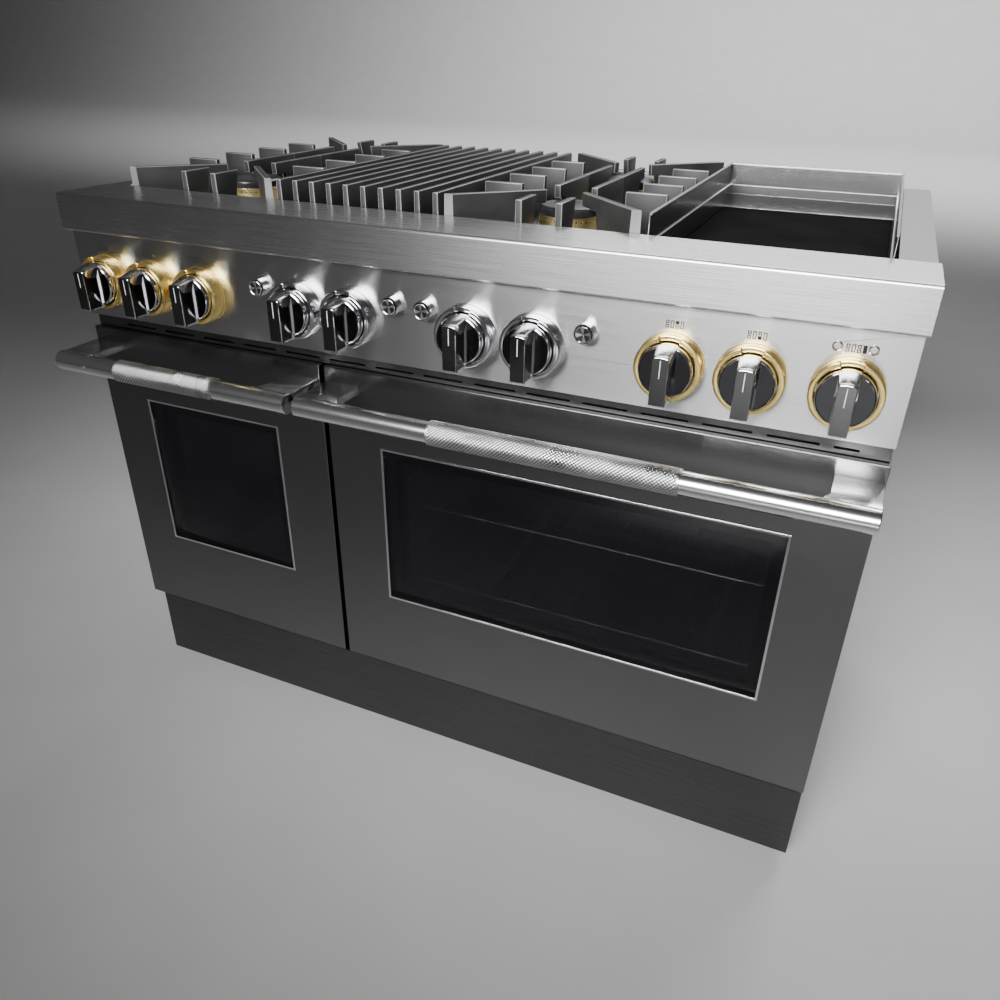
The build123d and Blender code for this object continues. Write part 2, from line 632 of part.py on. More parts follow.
def build_rack(name, door, rack_z):
    """A sliding oven rack: a frame of bars with wires from front to rear."""
    wide = grow(door["cavity"], -2.5)
    deep = (FRAME_Y + 12, CAVITY_REAR - 12)
    bottom = rack_z + 0.2
    wire_count = int((wide[1] - wide[0]) // 30)
    with BuildPart() as rack:
        add_box(wide, deep, (bottom, bottom + 6))
        cut_box(grow(wide, -6), grow(deep, -6), (bottom, bottom + 6))
        middle_y = sum(deep) / 2
        add_box(wide, (middle_y - 3, middle_y + 3), (bottom, bottom + 6))
        with Locations((sum(wide) / 2, middle_y, bottom + 4.5)):
            with GridLocations((wide[1] - wide[0]) / (wire_count + 1), 1, wire_count, 1):
                Box(3.5, deep[1] - deep[0], 3)
    save(rack, name)


def build_door_gaskets():
    """The woven seal round each oven mouth, as two closed loops."""
    with BuildPart() as gaskets:
        for door in DOORS.values():
            with BuildSketch(Plane.XZ.offset(-(FRAME_Y - SHEET))):
                with Locations((sum(door["cavity"]) / 2, sum(CAVITY_Z) / 2)):
                    width = door["cavity"][1] - door["cavity"][0]
                    height = CAVITY_Z[1] - CAVITY_Z[0]
                    RectangleRounded(width + 26, height + 26, 14)
                    RectangleRounded(width + 12, height + 12, 8, mode=Mode.SUBTRACT)
            extrude(amount=abs(DOOR_BACK) - abs(FRAME_Y - SHEET) - GAP)
    save(gaskets, "door_gaskets")


# ---------------------------------------------------------------- doors
def build_door_skin(side, door):
    """The outer steel pan of a door, with its window opening and hinge notches."""
    wide, window = door["x"], door["window"]
    tall = (DOOR_BOTTOM, DOOR_TOP)
    with BuildPart() as skin:
        add_box(wide, (FACE_Y, SEAM_Y), tall)
        fillet(skin.edges().group_by(Axis.Y)[0], 1.5)
        cut_box(grow(wide, -SHEET), (FACE_Y + SHEET, SEAM_Y), grow(tall, -SHEET))
        cut_box(window, (FACE_Y, FACE_Y + SHEET), WINDOW_Z)
        for lug_x in lug_places(door):
            cut_box((lug_x - 8, lug_x + 8), (FACE_Y + 4, SEAM_Y), (DOOR_BOTTOM, DOOR_BOTTOM + SHEET))
    save(skin, f"door_{side}_skin")


def build_door_trim(side, door):
    """The thin bright frame round the window, standing just proud of the door."""
    with BuildPart() as trim:
        add_box(door["window"], (FACE_Y - 0.8, FACE_Y + 4), WINDOW_Z)
        cut_box(grow(door["window"], -TRIM), (FACE_Y - 0.8, FACE_Y + 4), grow(WINDOW_Z, -TRIM))
    save(trim, f"door_{side}_trim")


def build_door_glass(side, door):
    """The door's two panes: the dark outer one and the clear inner one."""
    with BuildPart() as glass:
        add_box(grow(door["window"], 10), (FACE_Y + 4, FACE_Y + 8), grow(WINDOW_Z, 10))
        inner = grow(door["window"], 10 - INNER_INSET)
        add_box(inner, (DOOR_BACK - SHEET - 4, DOOR_BACK - SHEET), grow(WINDOW_Z, 10 - INNER_INSET))
    save(glass, f"door_{side}_glass")


def build_door_liner(side, door):
    """The inner steel pan of a door, facing the oven, with the inner window opening."""
    wide = door["x"]
    tall = (HINGE_Z - 1, DOOR_TOP)
    opening = grow(door["window"], -INNER_INSET)
    with BuildPart() as liner:
        add_box(wide, (SEAM_Y, DOOR_BACK), tall)
        fillet(liner.edges().group_by(Axis.Y)[-1], 1.5)
        cut_box(grow(wide, -SHEET), (SEAM_Y, DOOR_BACK - SHEET), grow(tall, -SHEET))
        cut_box(opening, (DOOR_BACK - SHEET, DOOR_BACK), grow(WINDOW_Z, -INNER_INSET))
        for lug_x in lug_places(door):
            cut_box((lug_x - 8, lug_x + 8), (SEAM_Y, DOOR_BACK), (HINGE_Z - 1, HINGE_Z + 16))
    save(liner, f"door_{side}_liner")


def build_door_handle(side, door):
    """The handle: two end brackets, two lengths of bar and a thicker knurled grip."""
    left, right = door["handle"]
    grip = door["grip"]
    bracket = 61.0
    post = 55.0
    post_thickness = 12.0
    corner = 10.0
    with BuildPart() as handle:
        pieces = [
            (left + bracket, grip[0], HANDLE_RADIUS),
            (grip[0], grip[1], GRIP_RADIUS),
            (grip[1], right - bracket, HANDLE_RADIUS),
        ]
        for start, end, radius in pieces:
            add_rod(((start + end) / 2, HANDLE_Y, HANDLE_Z), radius, end - start, "x")
        for end, inwards in ((left, 1), (right, -1)):
            add_rod((end + inwards * bracket / 2, HANDLE_Y, HANDLE_Z), HANDLE_RADIUS, bracket, "x")
            with BuildSketch(Plane.XY.offset(HANDLE_Z + 1)):
                with BuildLine():
                    outline = Polyline((end, HANDLE_Y), (end, FACE_Y), (end + inwards * post, FACE_Y))
                    bar_back = HANDLE_Y + HANDLE_RADIUS - 4
                    side_line = Line(outline @ 1, (end + inwards * post, bar_back + corner))
                    bend = TangentArc(side_line @ 1, (end + inwards * (post + 5), bar_back),
                                      tangent=side_line % 1)
                    Polyline(bend @ 1, (end + inwards * (post + 5), HANDLE_Y), (end, HANDLE_Y))
                make_face()
            extrude(amount=post_thickness)
    save(handle, f"door_{side}_handle")


def build_door_hinges(side, door):
    """Two hinge arms inside the door, each with the pin that turns in a chassis lug."""
    with BuildPart() as hinges:
        for lug_x in lug_places(door):
            arm = (lug_x + LUG_WIDTH, lug_x + LUG_WIDTH + 4)
            add_box(arm, (HINGE_Y - 6, HINGE_Y + 5.5), (HINGE_Z - 6, HINGE_Z + 110))
            add_rod((lug_x + 1, HINGE_Y, HINGE_Z), HINGE_PIN, 11, "x")
    save(hinges, f"door_{side}_hinges")


# ---------------------------------------------------------------- knobs and buttons
def build_knob_rings(name, places, buttons):
    """Fixed bezels on the control panel: a flanged ring with a notch in its front, at the top."""
    flange, flange_depth = 0.8, 2.5
    collar, collar_depth = 2.0, 13.0
    notch_width = 2 * RING_OUTER * sin(radians(NOTCH_HALF_ARC))
    with BuildPart() as rings:
        for knob_x in places:
            for radius, depth in ((RING_OUTER + flange, flange_depth), (RING_OUTER, FACE_Y - RING_FRONT)):
                with BuildSketch(Plane.XZ.offset(-FACE_Y)):
                    with Locations((knob_x, KNOB_Z)):
                        Circle(radius)
                        Circle(RING_INNER, mode=Mode.SUBTRACT)
                extrude(amount=depth)
            notch_x = (knob_x - notch_width / 2, knob_x + notch_width / 2)
            cut_box(notch_x, (RING_FRONT, RING_FRONT + NOTCH_DEPTH), (KNOB_Z, KNOB_Z + 2 * RING_OUTER))
        for button_x in buttons:
            with BuildSketch(Plane.XZ.offset(-FACE_Y)):
                with Locations((button_x, BUTTON_Z)):
                    Circle(BUTTON_RADIUS + collar)
                    Circle(BUTTON_RADIUS + 0.4, mode=Mode.SUBTRACT)
            extrude(amount=collar_depth)
    save(rings, name)


def build_knob(name, knob_x):
    """A knob: a round disc with a stem bore behind, and a tall grip blade in front."""
    half_grip = 9.75
    blade_low = KNOB_Z - 34
    roof_back, roof_front = KNOB_Z + 31, KNOB_Z + 26
    with BuildPart() as knob:
        disc_depth = KNOB_BACK - DISC_FRONT
        add_rod((knob_x, (KNOB_BACK + DISC_FRONT) / 2, KNOB_Z), DISC_RADIUS, disc_depth, "y")
        chamfer(knob.edges().group_by(Axis.Y)[0], 1.5)
        with BuildSketch(Plane.YZ.offset(knob_x)):
            Polygon((DISC_FRONT, roof_back), (BLADE_FRONT, roof_front),
                    (BLADE_FRONT, blade_low), (DISC_FRONT, blade_low), align=None)
        extrude(amount=half_grip, both=True)
        depth = KNOB_BACK - DISC_FRONT - 4
        bore = (knob_x, KNOB_BACK - depth / 2, KNOB_Z)
        add_rod(bore, STEM_RADIUS + RUNNING, depth, "y", Mode.SUBTRACT)
    save(knob, name)


def build_button(name, button_x):
    """A push button: a plunger through the panel with a shallow cone turned in its face."""
    back = FACE_Y + 5
    cone = 1.8
    with BuildPart() as button:
        middle = (button_x, (BUTTON_FRONT + back) / 2, BUTTON_Z)
        add_rod(middle, BUTTON_RADIUS, back - BUTTON_FRONT, "y")
        chamfer(button.edges().group_by(Axis.Y)[0], 0.8)
        face = Plane(origin=(button_x, BUTTON_FRONT + cone / 2, BUTTON_Z), z_dir=(0, -1, 0))
        with Locations(face):
            Cone(1, BUTTON_RADIUS - 2, cone, mode=Mode.SUBTRACT)
    save(button, name)


# ---------------------------------------------------------------- build everything
build_side_panels()
build_back_panel()
build_chassis_frame()
build_kick_panel()
build_levelling_feet()
build_bullnose()
build_control_panel()
build_vent_strip()

build_cooktop_deck()
build_burner_heads()
for side, centre in zip(("left", "right"), BURNER_PAIR_X):
    build_burner_cap(f"cap_{side}_front", centre, BURNER_FRONT_Y)
    build_burner_cap(f"cap_{side}_rear", centre, BURNER_REAR_Y)
    build_burner_grate(f"grate_{side}_front", centre, GRATE_FRONT, GRATE_MIDDLE - GAP, BURNER_FRONT_Y)
    build_burner_grate(f"grate_{side}_rear", centre, GRATE_REAR, GRATE_MIDDLE + GAP, BURNER_REAR_Y)
build_grill_grate()
build_griddle_plate()
build_griddle_guard()

build_tube_burners()
build_gas_manifold()
build_gas_valves()

build_door_gaskets()
for side, door in DOORS.items():
    build_oven_liner(side, door)
    build_convection_fan(side, door)
    for rack_name, rack_height in door["racks"].items():
        build_rack(rack_name, door, rack_height)
    build_door_skin(side, door)
    build_door_trim(side, door)
    build_door_glass(side, door)
    build_door_liner(side, door)
    build_door_handle(side, door)
    build_door_hinges(side, door)

build_knob_rings("brass_knob_rings", GAS_KNOBS.values(), ())
build_knob_rings("chrome_rings", OVEN_KNOBS.values(), BUTTONS.values())
for knob_name, knob_place in {**GAS_KNOBS, **OVEN_KNOBS}.items():
    build_knob(knob_name, knob_place)
for button_name, button_place in BUTTONS.items():
    build_button(button_name, button_place)
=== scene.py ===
import json
from math import atan2, copysign, cos, degrees, pi, radians, sin

import bmesh
import bpy
from mathutils import Matrix, Vector


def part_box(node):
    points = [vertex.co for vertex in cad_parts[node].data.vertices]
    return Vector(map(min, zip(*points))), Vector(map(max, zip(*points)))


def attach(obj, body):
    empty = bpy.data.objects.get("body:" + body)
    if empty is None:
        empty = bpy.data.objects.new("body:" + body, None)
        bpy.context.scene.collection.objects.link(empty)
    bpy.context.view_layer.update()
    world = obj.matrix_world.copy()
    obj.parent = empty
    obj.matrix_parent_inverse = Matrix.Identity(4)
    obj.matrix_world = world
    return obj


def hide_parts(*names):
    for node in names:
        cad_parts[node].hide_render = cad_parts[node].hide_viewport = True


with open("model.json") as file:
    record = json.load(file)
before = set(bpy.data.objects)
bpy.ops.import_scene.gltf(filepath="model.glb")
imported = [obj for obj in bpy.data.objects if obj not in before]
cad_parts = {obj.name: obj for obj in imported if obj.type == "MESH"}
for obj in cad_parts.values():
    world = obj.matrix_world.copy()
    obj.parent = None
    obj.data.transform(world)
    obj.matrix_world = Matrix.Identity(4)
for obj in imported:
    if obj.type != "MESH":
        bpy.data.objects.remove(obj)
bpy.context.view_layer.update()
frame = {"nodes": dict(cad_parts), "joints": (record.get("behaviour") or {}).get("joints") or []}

# The looks of a 48-inch gas range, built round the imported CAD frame. Metres, +Y to the rear.
MM = 0.001

# camera
CAMERA_PLACE = (0.532, -1.247, 1.118)
CAMERA_HEADING = 23.34  # degrees to the left of straight ahead
CAMERA_DROP = 28.84  # degrees below level
CAMERA_ROLL = 0.9  # degrees
CAMERA_LENS = 29.76

# knobs, rings and buttons; fronts and heights are measured outwards from the control panel
PANEL_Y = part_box("control_panel")[0].y
DISC_R = 32 * MM
DISC_FRONT = 30 * MM
BLADE_FRONT = 56 * MM
BLADE_ROOT = 28 * MM
BLADE_HALF = 9.75 * MM  # half its width
BLADE_RISE = 26 * MM  # above the axis, at its front
BLADE_DROP = 34 * MM  # below the axis
STEM_BORE_R = 4.1 * MM
RING_OUT = 40 * MM
RING_IN = 33.5 * MM
RING_TALL = 21 * MM
NOTCH_DEEP = 5 * MM
NOTCH_ARC = (70, 110)  # degrees, 90 is straight up
BUTTON_R = 10.8 * MM
BUTTON_FRONT = 15 * MM
COLLAR_OUT = 13 * MM
COLLAR_IN = 11.4 * MM
COLLAR_TALL = 13 * MM

# markings and lamps on the control panel
ICON_Z = 0.835
ICON_W = 4.0 * MM
ICON_H = 9.0 * MM
ICON_PITCH = 5.8 * MM
LINE = 1.0 * MM
PROUD = 0.12 * MM  # a marking's thickness in front of the panel
LAMP_X = (0.5215, 0.5588)
LAMP_Z = 0.8355

# door handles and windows
HANDLE_Y = -0.373
HANDLE_Z = 0.671
BAR_R = 15 * MM
GRIP_R = 17 * MM
BRACKET = 61 * MM  # length of the stub of bar at each end
POST = 55 * MM
POST_THICK = 12 * MM
POST_RISE = 7 * MM  # middle of the post above the bar's axis
GRIPS = {"left": (-0.484, -0.300), "right": (0.054, 0.385)}  # where each grip starts and ends
KNURL = 5.0 * MM  # pitch of the diamonds
PANE = 4 * MM
GLASS_BORDER = 30 * MM
INNER_INSET = 22 * MM  # the inner pane is this much smaller all round

# grates
GRATE_TOP = 0.942
GRATE_LOW = 0.8842
RELIEF_Z = 0.924  # underside of the blades that reach over a cap
BLADE_TOP = 9.0 * MM
BLADE_FOOT = 10.4 * MM
TOP_ROUND = 1.1 * MM
RAIL = 9 * MM
RAIL_TALL = 12 * MM
CORNER_SPAN = 130 * MM  # from a grate's centre line to the root of a diagonal
PAIR_SPAN = 28 * MM  # from the centre line to a long bar or a front finger
FINGER = 54 * MM
FINGER_SLOPE = 16 * MM  # how much shorter a blade's foot is than its top
SIDE_FINGER = 59 * MM
SIDE_SLOPE = 2 * MM
DIAGONAL_SLOPE = 52 * MM
DIAGONAL_RELIEF = 45 * MM  # the length that is cut away below a blade's tip
BAR_SLOPE = 36 * MM
BAR_RELIEF = 28 * MM
GRILL_BLADES = 10
GRILL_PITCH = 28.7 * MM
GRILL_TOP = 8 * MM
GRILL_FOOT = 9.4 * MM
GRILL_TALL = 44 * MM
TIE = 12 * MM

KNOBS = [n for n in frame["nodes"] if n.startswith("knob_")]
OVEN_KNOBS = [n for n in KNOBS if "oven" in n]
GAS_KNOBS = [n for n in KNOBS if "oven" not in n]
BUTTONS = [n for n in frame["nodes"] if n.startswith("button_")]


# ---------------------------------------------------------------- node helpers
def new_material(name):
    """A node material: returns it with its node tree's nodes and links and its main shader."""
    material = bpy.data.materials.new(name)
    material.use_nodes = True
    nodes = material.node_tree.nodes
    return material, nodes, material.node_tree.links, nodes["Principled BSDF"]


def object_noise(nodes, links, scale, detail=3.0, rough=0.55, stretch=(1, 1, 1)):
    """Noise read from object coordinates, which stretch multiplies first."""
    where = nodes.new("ShaderNodeTexCoord")
    spread = nodes.new("ShaderNodeMapping")
    spread.inputs["Scale"].default_value = stretch
    noise = nodes.new("ShaderNodeTexNoise")
    noise.inputs["Scale"].default_value = scale
    noise.inputs["Detail"].default_value = detail
    noise.inputs["Roughness"].default_value = rough
    links.new(where.outputs["Object"], spread.inputs["Vector"])
    links.new(spread.outputs["Vector"], noise.inputs["Vector"])
    return noise.outputs["Fac"]


def ramp(nodes, links, source, low, high, start=0.3, end=0.7):
    """A two-stop colour ramp from a grey source; low and high are greys or colours."""
    node = nodes.new("ShaderNodeValToRGB")
    for stop, place, value in ((0, start, low), (1, end, high)):
        colour = value if hasattr(value, "__len__") else (value, value, value)
        node.color_ramp.elements[stop].position = place
        node.color_ramp.elements[stop].color = (*colour, 1)
    links.new(source, node.inputs["Fac"])
    return node.outputs["Color"]


def bump(nodes, links, shader, height, strength, distance):
    """Fine surface relief from a grey source."""
    node = nodes.new("ShaderNodeBump")
    node.inputs["Strength"].default_value = strength
    node.inputs["Distance"].default_value = distance
    links.new(height, node.inputs["Height"])
    links.new(node.outputs["Normal"], shader.inputs["Normal"])


GRAIN = (7, 1500, 1500)  # long along X, fine across it


def maths(nodes, links, operation, *values):
    """A Math node whose inputs are numbers or other nodes' outputs."""
    node = nodes.new("ShaderNodeMath")
    node.operation = operation
    for socket, value in zip(node.inputs, values):
        if isinstance(value, bpy.types.NodeSocket):
            links.new(value, socket)
        else:
            socket.default_value = value
    return node.outputs[0]


def brushed(name, grey, roughness, anisotropy, grain=0.12):
    """Brushed stainless steel: long fine grain, cloudy variation and stretched highlights."""
    material, nodes, links, shader = new_material(name)
    shader.inputs["Metallic"].default_value = 1.0
    shader.inputs["Anisotropic"].default_value = anisotropy
    tangent = nodes.new("ShaderNodeCombineXYZ")  # up the fronts and back along the tops
    tangent.inputs["Y"].default_value = 0.7
    tangent.inputs["Z"].default_value = 0.7
    links.new(tangent.outputs["Vector"], shader.inputs["Tangent"])
    fine = object_noise(nodes, links, 1.0, 5.0, 0.7, GRAIN)
    cloud = object_noise(nodes, links, 3.2)
    grained = ramp(nodes, links, fine, grey * 0.92, min(1.0, grey * 1.06), 0.25, 0.75)
    mix = nodes.new("ShaderNodeMix")
    mix.data_type = "RGBA"
    mix.blend_type = "MULTIPLY"
    mix.inputs["Factor"].default_value = 0.5
    links.new(grained, mix.inputs["A"])
    links.new(ramp(nodes, links, cloud, 0.86, 1.0), mix.inputs["B"])
    links.new(mix.outputs["Result"], shader.inputs["Base Color"])
    links.new(ramp(nodes, links, fine, roughness * 0.88, roughness * 1.12), shader.inputs["Roughness"])
    bump(nodes, links, shader, fine, grain, 0.05 * MM)
    return material


def polished(name, colour, roughness, streak=(30, 900, 900)):
    """Polished metal with faint polishing lines and soft smudges."""
    smudge = 0.35
    material, nodes, links, shader = new_material(name)
    shader.inputs["Metallic"].default_value = 1.0
    lines = object_noise(nodes, links, 1.0, stretch=streak)
    clouds = object_noise(nodes, links, 24.0, 4.0)
    darker = tuple(0.86 * channel for channel in colour)
    links.new(ramp(nodes, links, clouds, darker, colour), shader.inputs["Base Color"])
    uneven = ramp(nodes, links, clouds, roughness * (1 - smudge), roughness * (1 + smudge))
    links.new(uneven, shader.inputs["Roughness"])
    bump(nodes, links, shader, lines, 0.08, 0.02 * MM)
    return material


def cast_iron(name, grey, roughness, grain, shine, patchy=0.3):
    """Enamelled cast iron: a fine orange-peel skin with a patchy sheen."""
    material, nodes, links, shader = new_material(name)
    skin = object_noise(nodes, links, 900.0, 4.0, 0.6)
    patches = object_noise(nodes, links, 14.0, 4.0)
    base = ramp(nodes, links, patches, grey * (1 - patchy), grey * (1 + patchy))
    links.new(base, shader.inputs["Base Color"])
    links.new(ramp(nodes, links, patches, roughness * 0.9, roughness * 1.1), shader.inputs["Roughness"])
    shader.inputs["Specular IOR Level"].default_value = shine
    bump(nodes, links, shader, skin, grain, 0.15 * MM)
    return material


def enamel(name, colour, roughness, speckle, metallic=0.0):
    """Fired or painted sheet finish with a soft mottle and slight waviness."""
    material, nodes, links, shader = new_material(name)
    shader.inputs["Metallic"].default_value = metallic
    mottle = object_noise(nodes, links, 180.0, 5.0, 0.7)
    waves = object_noise(nodes, links, 6.0, 2.0)
    swing = 0.35 * speckle
    darker = tuple(channel * (1 - swing) for channel in colour)
    lighter = tuple(min(1.0, channel * (1 + swing)) for channel in colour)
    links.new(ramp(nodes, links, mottle, darker, lighter), shader.inputs["Base Color"])
    links.new(ramp(nodes, links, waves, roughness * 0.8, roughness * 1.25), shader.inputs["Roughness"])
    bump(nodes, links, shader, mottle, 0.12, 0.05 * MM)
    return material


def glazing(name, colour, alpha, roughness=0.04):
    """Tinted oven glass: glossy, part see-through, with a faint film of haze."""
    material, nodes, links, shader = new_material(name)
    haze = object_noise(nodes, links, 9.0, 4.0)
    hazy = tuple(channel * 1.5 for channel in colour)
    links.new(ramp(nodes, links, haze, colour, hazy), shader.inputs["Base Color"])
    links.new(ramp(nodes, links, haze, roughness, roughness * 2.2), shader.inputs["Roughness"])
    shader.inputs["IOR"].default_value = 1.5
    shader.inputs["Specular IOR Level"].default_value = 0.3
    shader.inputs["Alpha"].default_value = alpha
    return material


def fibre(name, colour):
    """Braided glass-fibre rope."""
    material, nodes, links, shader = new_material(name)
    weave = nodes.new("ShaderNodeTexVoronoi")
    weave.inputs["Scale"].default_value = 420.0
    where = nodes.new("ShaderNodeTexCoord")
    links.new(where.outputs["Object"], weave.inputs["Vector"])
    darker = tuple(channel * 0.4 for channel in colour)
    strands = ramp(nodes, links, weave.outputs["Distance"], colour, darker, 0.1, 0.8)
    links.new(strands, shader.inputs["Base Color"])
    shader.inputs["Roughness"].default_value = 0.9
    bump(nodes, links, shader, weave.outputs["Distance"], 0.8, 0.6 * MM)
    return material


def ink(name, grey):
    """Fired-on panel marking."""
    material, nodes, links, shader = new_material(name)
    patches = object_noise(nodes, links, 700.0, 2.0)
    links.new(ramp(nodes, links, patches, grey * 0.8, grey * 1.2), shader.inputs["Base Color"])
    shader.inputs["Roughness"].default_value = 0.45
    shader.inputs["Specular IOR Level"].default_value = 0.2
    return material


# The brushed parts are all one stainless steel, given lit and shaded greys: lighter on the bars, nose and
# panel, darker on the deck and guard, and darkest, as painted shade, on the doors, kick and vent.
MATS = {
    "nose": brushed("steel_nose", 0.60, 0.27, 0.85),
    "panel": brushed("steel_panel", 0.55, 0.24, 0.92),
    "door": brushed("steel_door_painted_shade", 0.18, 0.20, 0.75),
    "kick": brushed("steel_kick_painted_shade", 0.09, 0.28, 0.6),
    "vent": brushed("steel_vent_painted_shade", 0.07, 0.34, 0.4),
    "deck": brushed("steel_deck", 0.45, 0.26, 0.3),
    "guard": brushed("steel_guard", 0.42, 0.22, 0.3),
    "bar": brushed("steel_bar", 0.80, 0.18, 0.3, grain=0.06),
    "grip": polished("steel_grip", (0.50, 0.50, 0.51), 0.32),
    # The groove material is near-black: painted shade at the bottom of the knurl's grooves.
    "groove": polished("grip_groove_painted_shade", (0.06, 0.06, 0.063), 0.40),
    "chrome": polished("chrome", (0.80, 0.80, 0.82), 0.10),
    # The dark chrome is chrome painted near-black: painted dark reflection on the knob faces and blade sides,
    # and painted shade in the knob bores and the button gaps.
    "chrome_painted_shade": polished("chrome_painted_shade", (0.05, 0.05, 0.053), 0.16),
    "blade_face": polished("blade_face", (0.13, 0.13, 0.133), 0.18),
    "brass": polished("brass_ring", (1.0, 0.76, 0.28), 0.28),
    "burner_brass": polished("burner_brass", (1.0, 0.80, 0.38), 0.36, streak=(900, 900, 40)),
    "iron": cast_iron("grate_iron", 0.026, 0.48, 0.45, 0.30),
    # The rim iron is a lighter grey for the grates' eased edges and cut ends: painted highlight along the
    # edges.
    "iron_edge_highlight": cast_iron("grate_iron_edge_highlight", 0.16, 0.34, 0.3, 0.6),
    "cap": cast_iron("cap_enamel", 0.022, 0.30, 0.25, 0.40),
    "griddle": cast_iron("griddle_iron", 0.012, 0.60, 0.2, 0.0, patchy=0.15),
    "casing": enamel("casing_paint", (0.36, 0.36, 0.37), 0.42, 0.15, metallic=0.6),
    "zinc": enamel("zinc_sheet", (0.52, 0.53, 0.55), 0.38, 0.35, metallic=0.9),
    "oven": enamel("oven_enamel", (0.05, 0.054, 0.062), 0.25, 0.6),
    "pipe": enamel("pipe_paint", (0.05, 0.05, 0.05), 0.5, 0.3),
    "alloy": enamel("valve_alloy", (0.5, 0.5, 0.5), 0.45, 0.3, metallic=0.9),
    "rack": polished("rack_wire", (0.66, 0.66, 0.68), 0.22),
    "glass": glazing("door_glass", (0.003, 0.003, 0.004), 0.55),
    "inner_glass": glazing("inner_glass", (0.06, 0.06, 0.063), 0.30),
    "frit": enamel("glass_border", (0.004, 0.004, 0.0045), 0.45, 0.4),
    "gasket": fibre("gasket_fibre", (0.14, 0.14, 0.14)),
    "white": ink("mark_white", 0.75),
    "black": ink("mark_black", 0.012),
    "lens": glazing("lamp_lens", (0.42, 0.40, 0.36), 0.85, 0.12),
}


# ---------------------------------------------------------------- mesh helpers
def finish_piece(name, bm, body, materials, replaces=(), angle=32):
    """Turns a bmesh into a named piece that rides on a body."""
    bmesh.ops.remove_doubles(bm, verts=bm.verts, dist=1e-6)
    bmesh.ops.recalc_face_normals(bm, faces=bm.faces)
    mesh = bpy.data.meshes.new(name)
    bm.to_mesh(mesh)
    bm.free()
    piece = bpy.data.objects.new(name, mesh)
    bpy.context.scene.collection.objects.link(piece)
    for key in materials:
        mesh.materials.append(MATS[key])
    mesh.shade_smooth()
    mesh.set_sharp_from_angle(angle=radians(angle))
    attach(piece, body)
    if replaces:
        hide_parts(*replaces)
    return piece


def lathe(bm, profile, place, material=0, segments=96, toward=(0, -1, 0)):
    """Spins (radius, height) points about an axis through a place. A profile that starts or ends at
    radius 0 is closed there. profile is a list, or a function of the angle in degrees that returns one.
    material is one index, or one for each span between two points."""
    axis = Vector(toward).normalized()
    turn = axis.to_track_quat("Z", "Y").to_matrix()
    at_angle = profile if callable(profile) else (lambda _: profile)
    loops = []
    for index in range(segments):
        angle = 2 * pi * index / segments
        row = []
        for radius, height in at_angle(degrees(angle)):
            spot = Vector((radius * cos(angle), radius * sin(angle), height))
            row.append(bm.verts.new(Vector(place) + turn @ spot))
        loops.append(row)
    for index, row in enumerate(loops):
        after = loops[(index + 1) % segments]
        for span in range(len(row) - 1):
            corners = [row[span], row[span + 1], after[span + 1], after[span]]
            if (corners[0].co - corners[3].co).length < 1e-7:
                corners = corners[:3]
            elif (corners[1].co - corners[2].co).length < 1e-7:
                corners = [corners[0], corners[1], corners[3]]
            face = bm.faces.new(corners)
            face.material_index = material[span] if hasattr(material, "__len__") else material


def prism(bm, outline, place, across, along, up, depth, material=0, rounding=0.0, steps=2, rim=None):
    """A closed prism: an outline of (a, b) points in the along/up plane, thick about the middle.
    rim is the material of its rounded edges, if that differs."""
    across, along, up = Vector(across), Vector(along), Vector(up)
    sides = []
    for end in (-0.5, 0.5):
        base = Vector(place) + across * depth * end
        sides.append([bm.verts.new(base + along * a + up * b) for a, b in outline])
    first, last = sides
    faces = [bm.faces.new(first), bm.faces.new(list(reversed(last)))]
    for index in range(len(outline)):
        after = (index + 1) % len(outline)
        faces.append(bm.faces.new((first[index], last[index], last[after], first[after])))
    for face in faces:
        face.material_index = material
    if rounding:
        edges = list(dict.fromkeys(edge for face in faces for edge in face.edges))
        made = bmesh.ops.bevel(bm, geom=edges, offset=rounding, segments=steps, profile=0.5,
                               affect="EDGES", clamp_overlap=True)
        for face in made["faces"]:
            face.material_index = material if rim is None else rim


def slab(bm, low, high, material=0, rounding=0.0, steps=2):
    """A box between two corners with rounded edges."""
    low, high = Vector(low), Vector(high)
    size = high - low
    outline = [(0, 0), (size.y, 0), (size.y, size.z), (0, size.z)]
    place = (low.x + size.x / 2, low.y, low.z)
    prism(bm, outline, place, (1, 0, 0), (0, 1, 0), (0, 0, 1), size.x, material, rounding, steps)


def rod(bm, start, end, radius, material=0, segments=12, soft=0.25):
    """A round bar between two points with slightly rounded ends."""
    start, end = Vector(start), Vector(end)
    length = (end - start).length
    lip = radius * soft
    profile = [(0, 0), (radius - lip, 0), (radius, lip), (radius, length - lip),
               (radius - lip, length), (0, length)]
    lathe(bm, profile, start, material, segments, end - start)


def frame_of(bm, outer_low, outer_high, border, material=0):
    """A flat rectangular frame in the X-Z plane, as four bars."""
    x0, y0, z0 = outer_low
    x1, y1, z1 = outer_high
    slab(bm, (x0, y0, z0), (x1, y1, z0 + border), material)
    slab(bm, (x0, y0, z1 - border), (x1, y1, z1), material)
    slab(bm, (x0, y0, z0 + border), (x0 + border, y1, z1 - border), material)
    slab(bm, (x1 - border, y0, z0 + border), (x1, y1, z1 - border), material)


def loft(bm, sections):
    """Skins a row of equal-length point loops and closes both ends."""
    rows = [[bm.verts.new(point) for point in section] for section in sections]
    count = len(rows[0])
    for row, after in zip(rows, rows[1:]):
        for index in range(count):
            following = (index + 1) % count
            bm.faces.new((row[index], row[following], after[following], after[index]))
    for row in (rows[0], rows[-1]):
        bm.faces.new(row)


def arc(centre, radius, first, last, steps):
    """Points on an arc, angles in degrees."""
    angles = [radians(first + (last - first) * index / steps) for index in range(steps + 1)]
    return [(centre[0] + radius * cos(a), centre[1] + radius * sin(a)) for a in angles]


def in_mm(*points):
    """A profile or outline given in millimetres."""
    return [(a * MM, b * MM) for a, b in points]


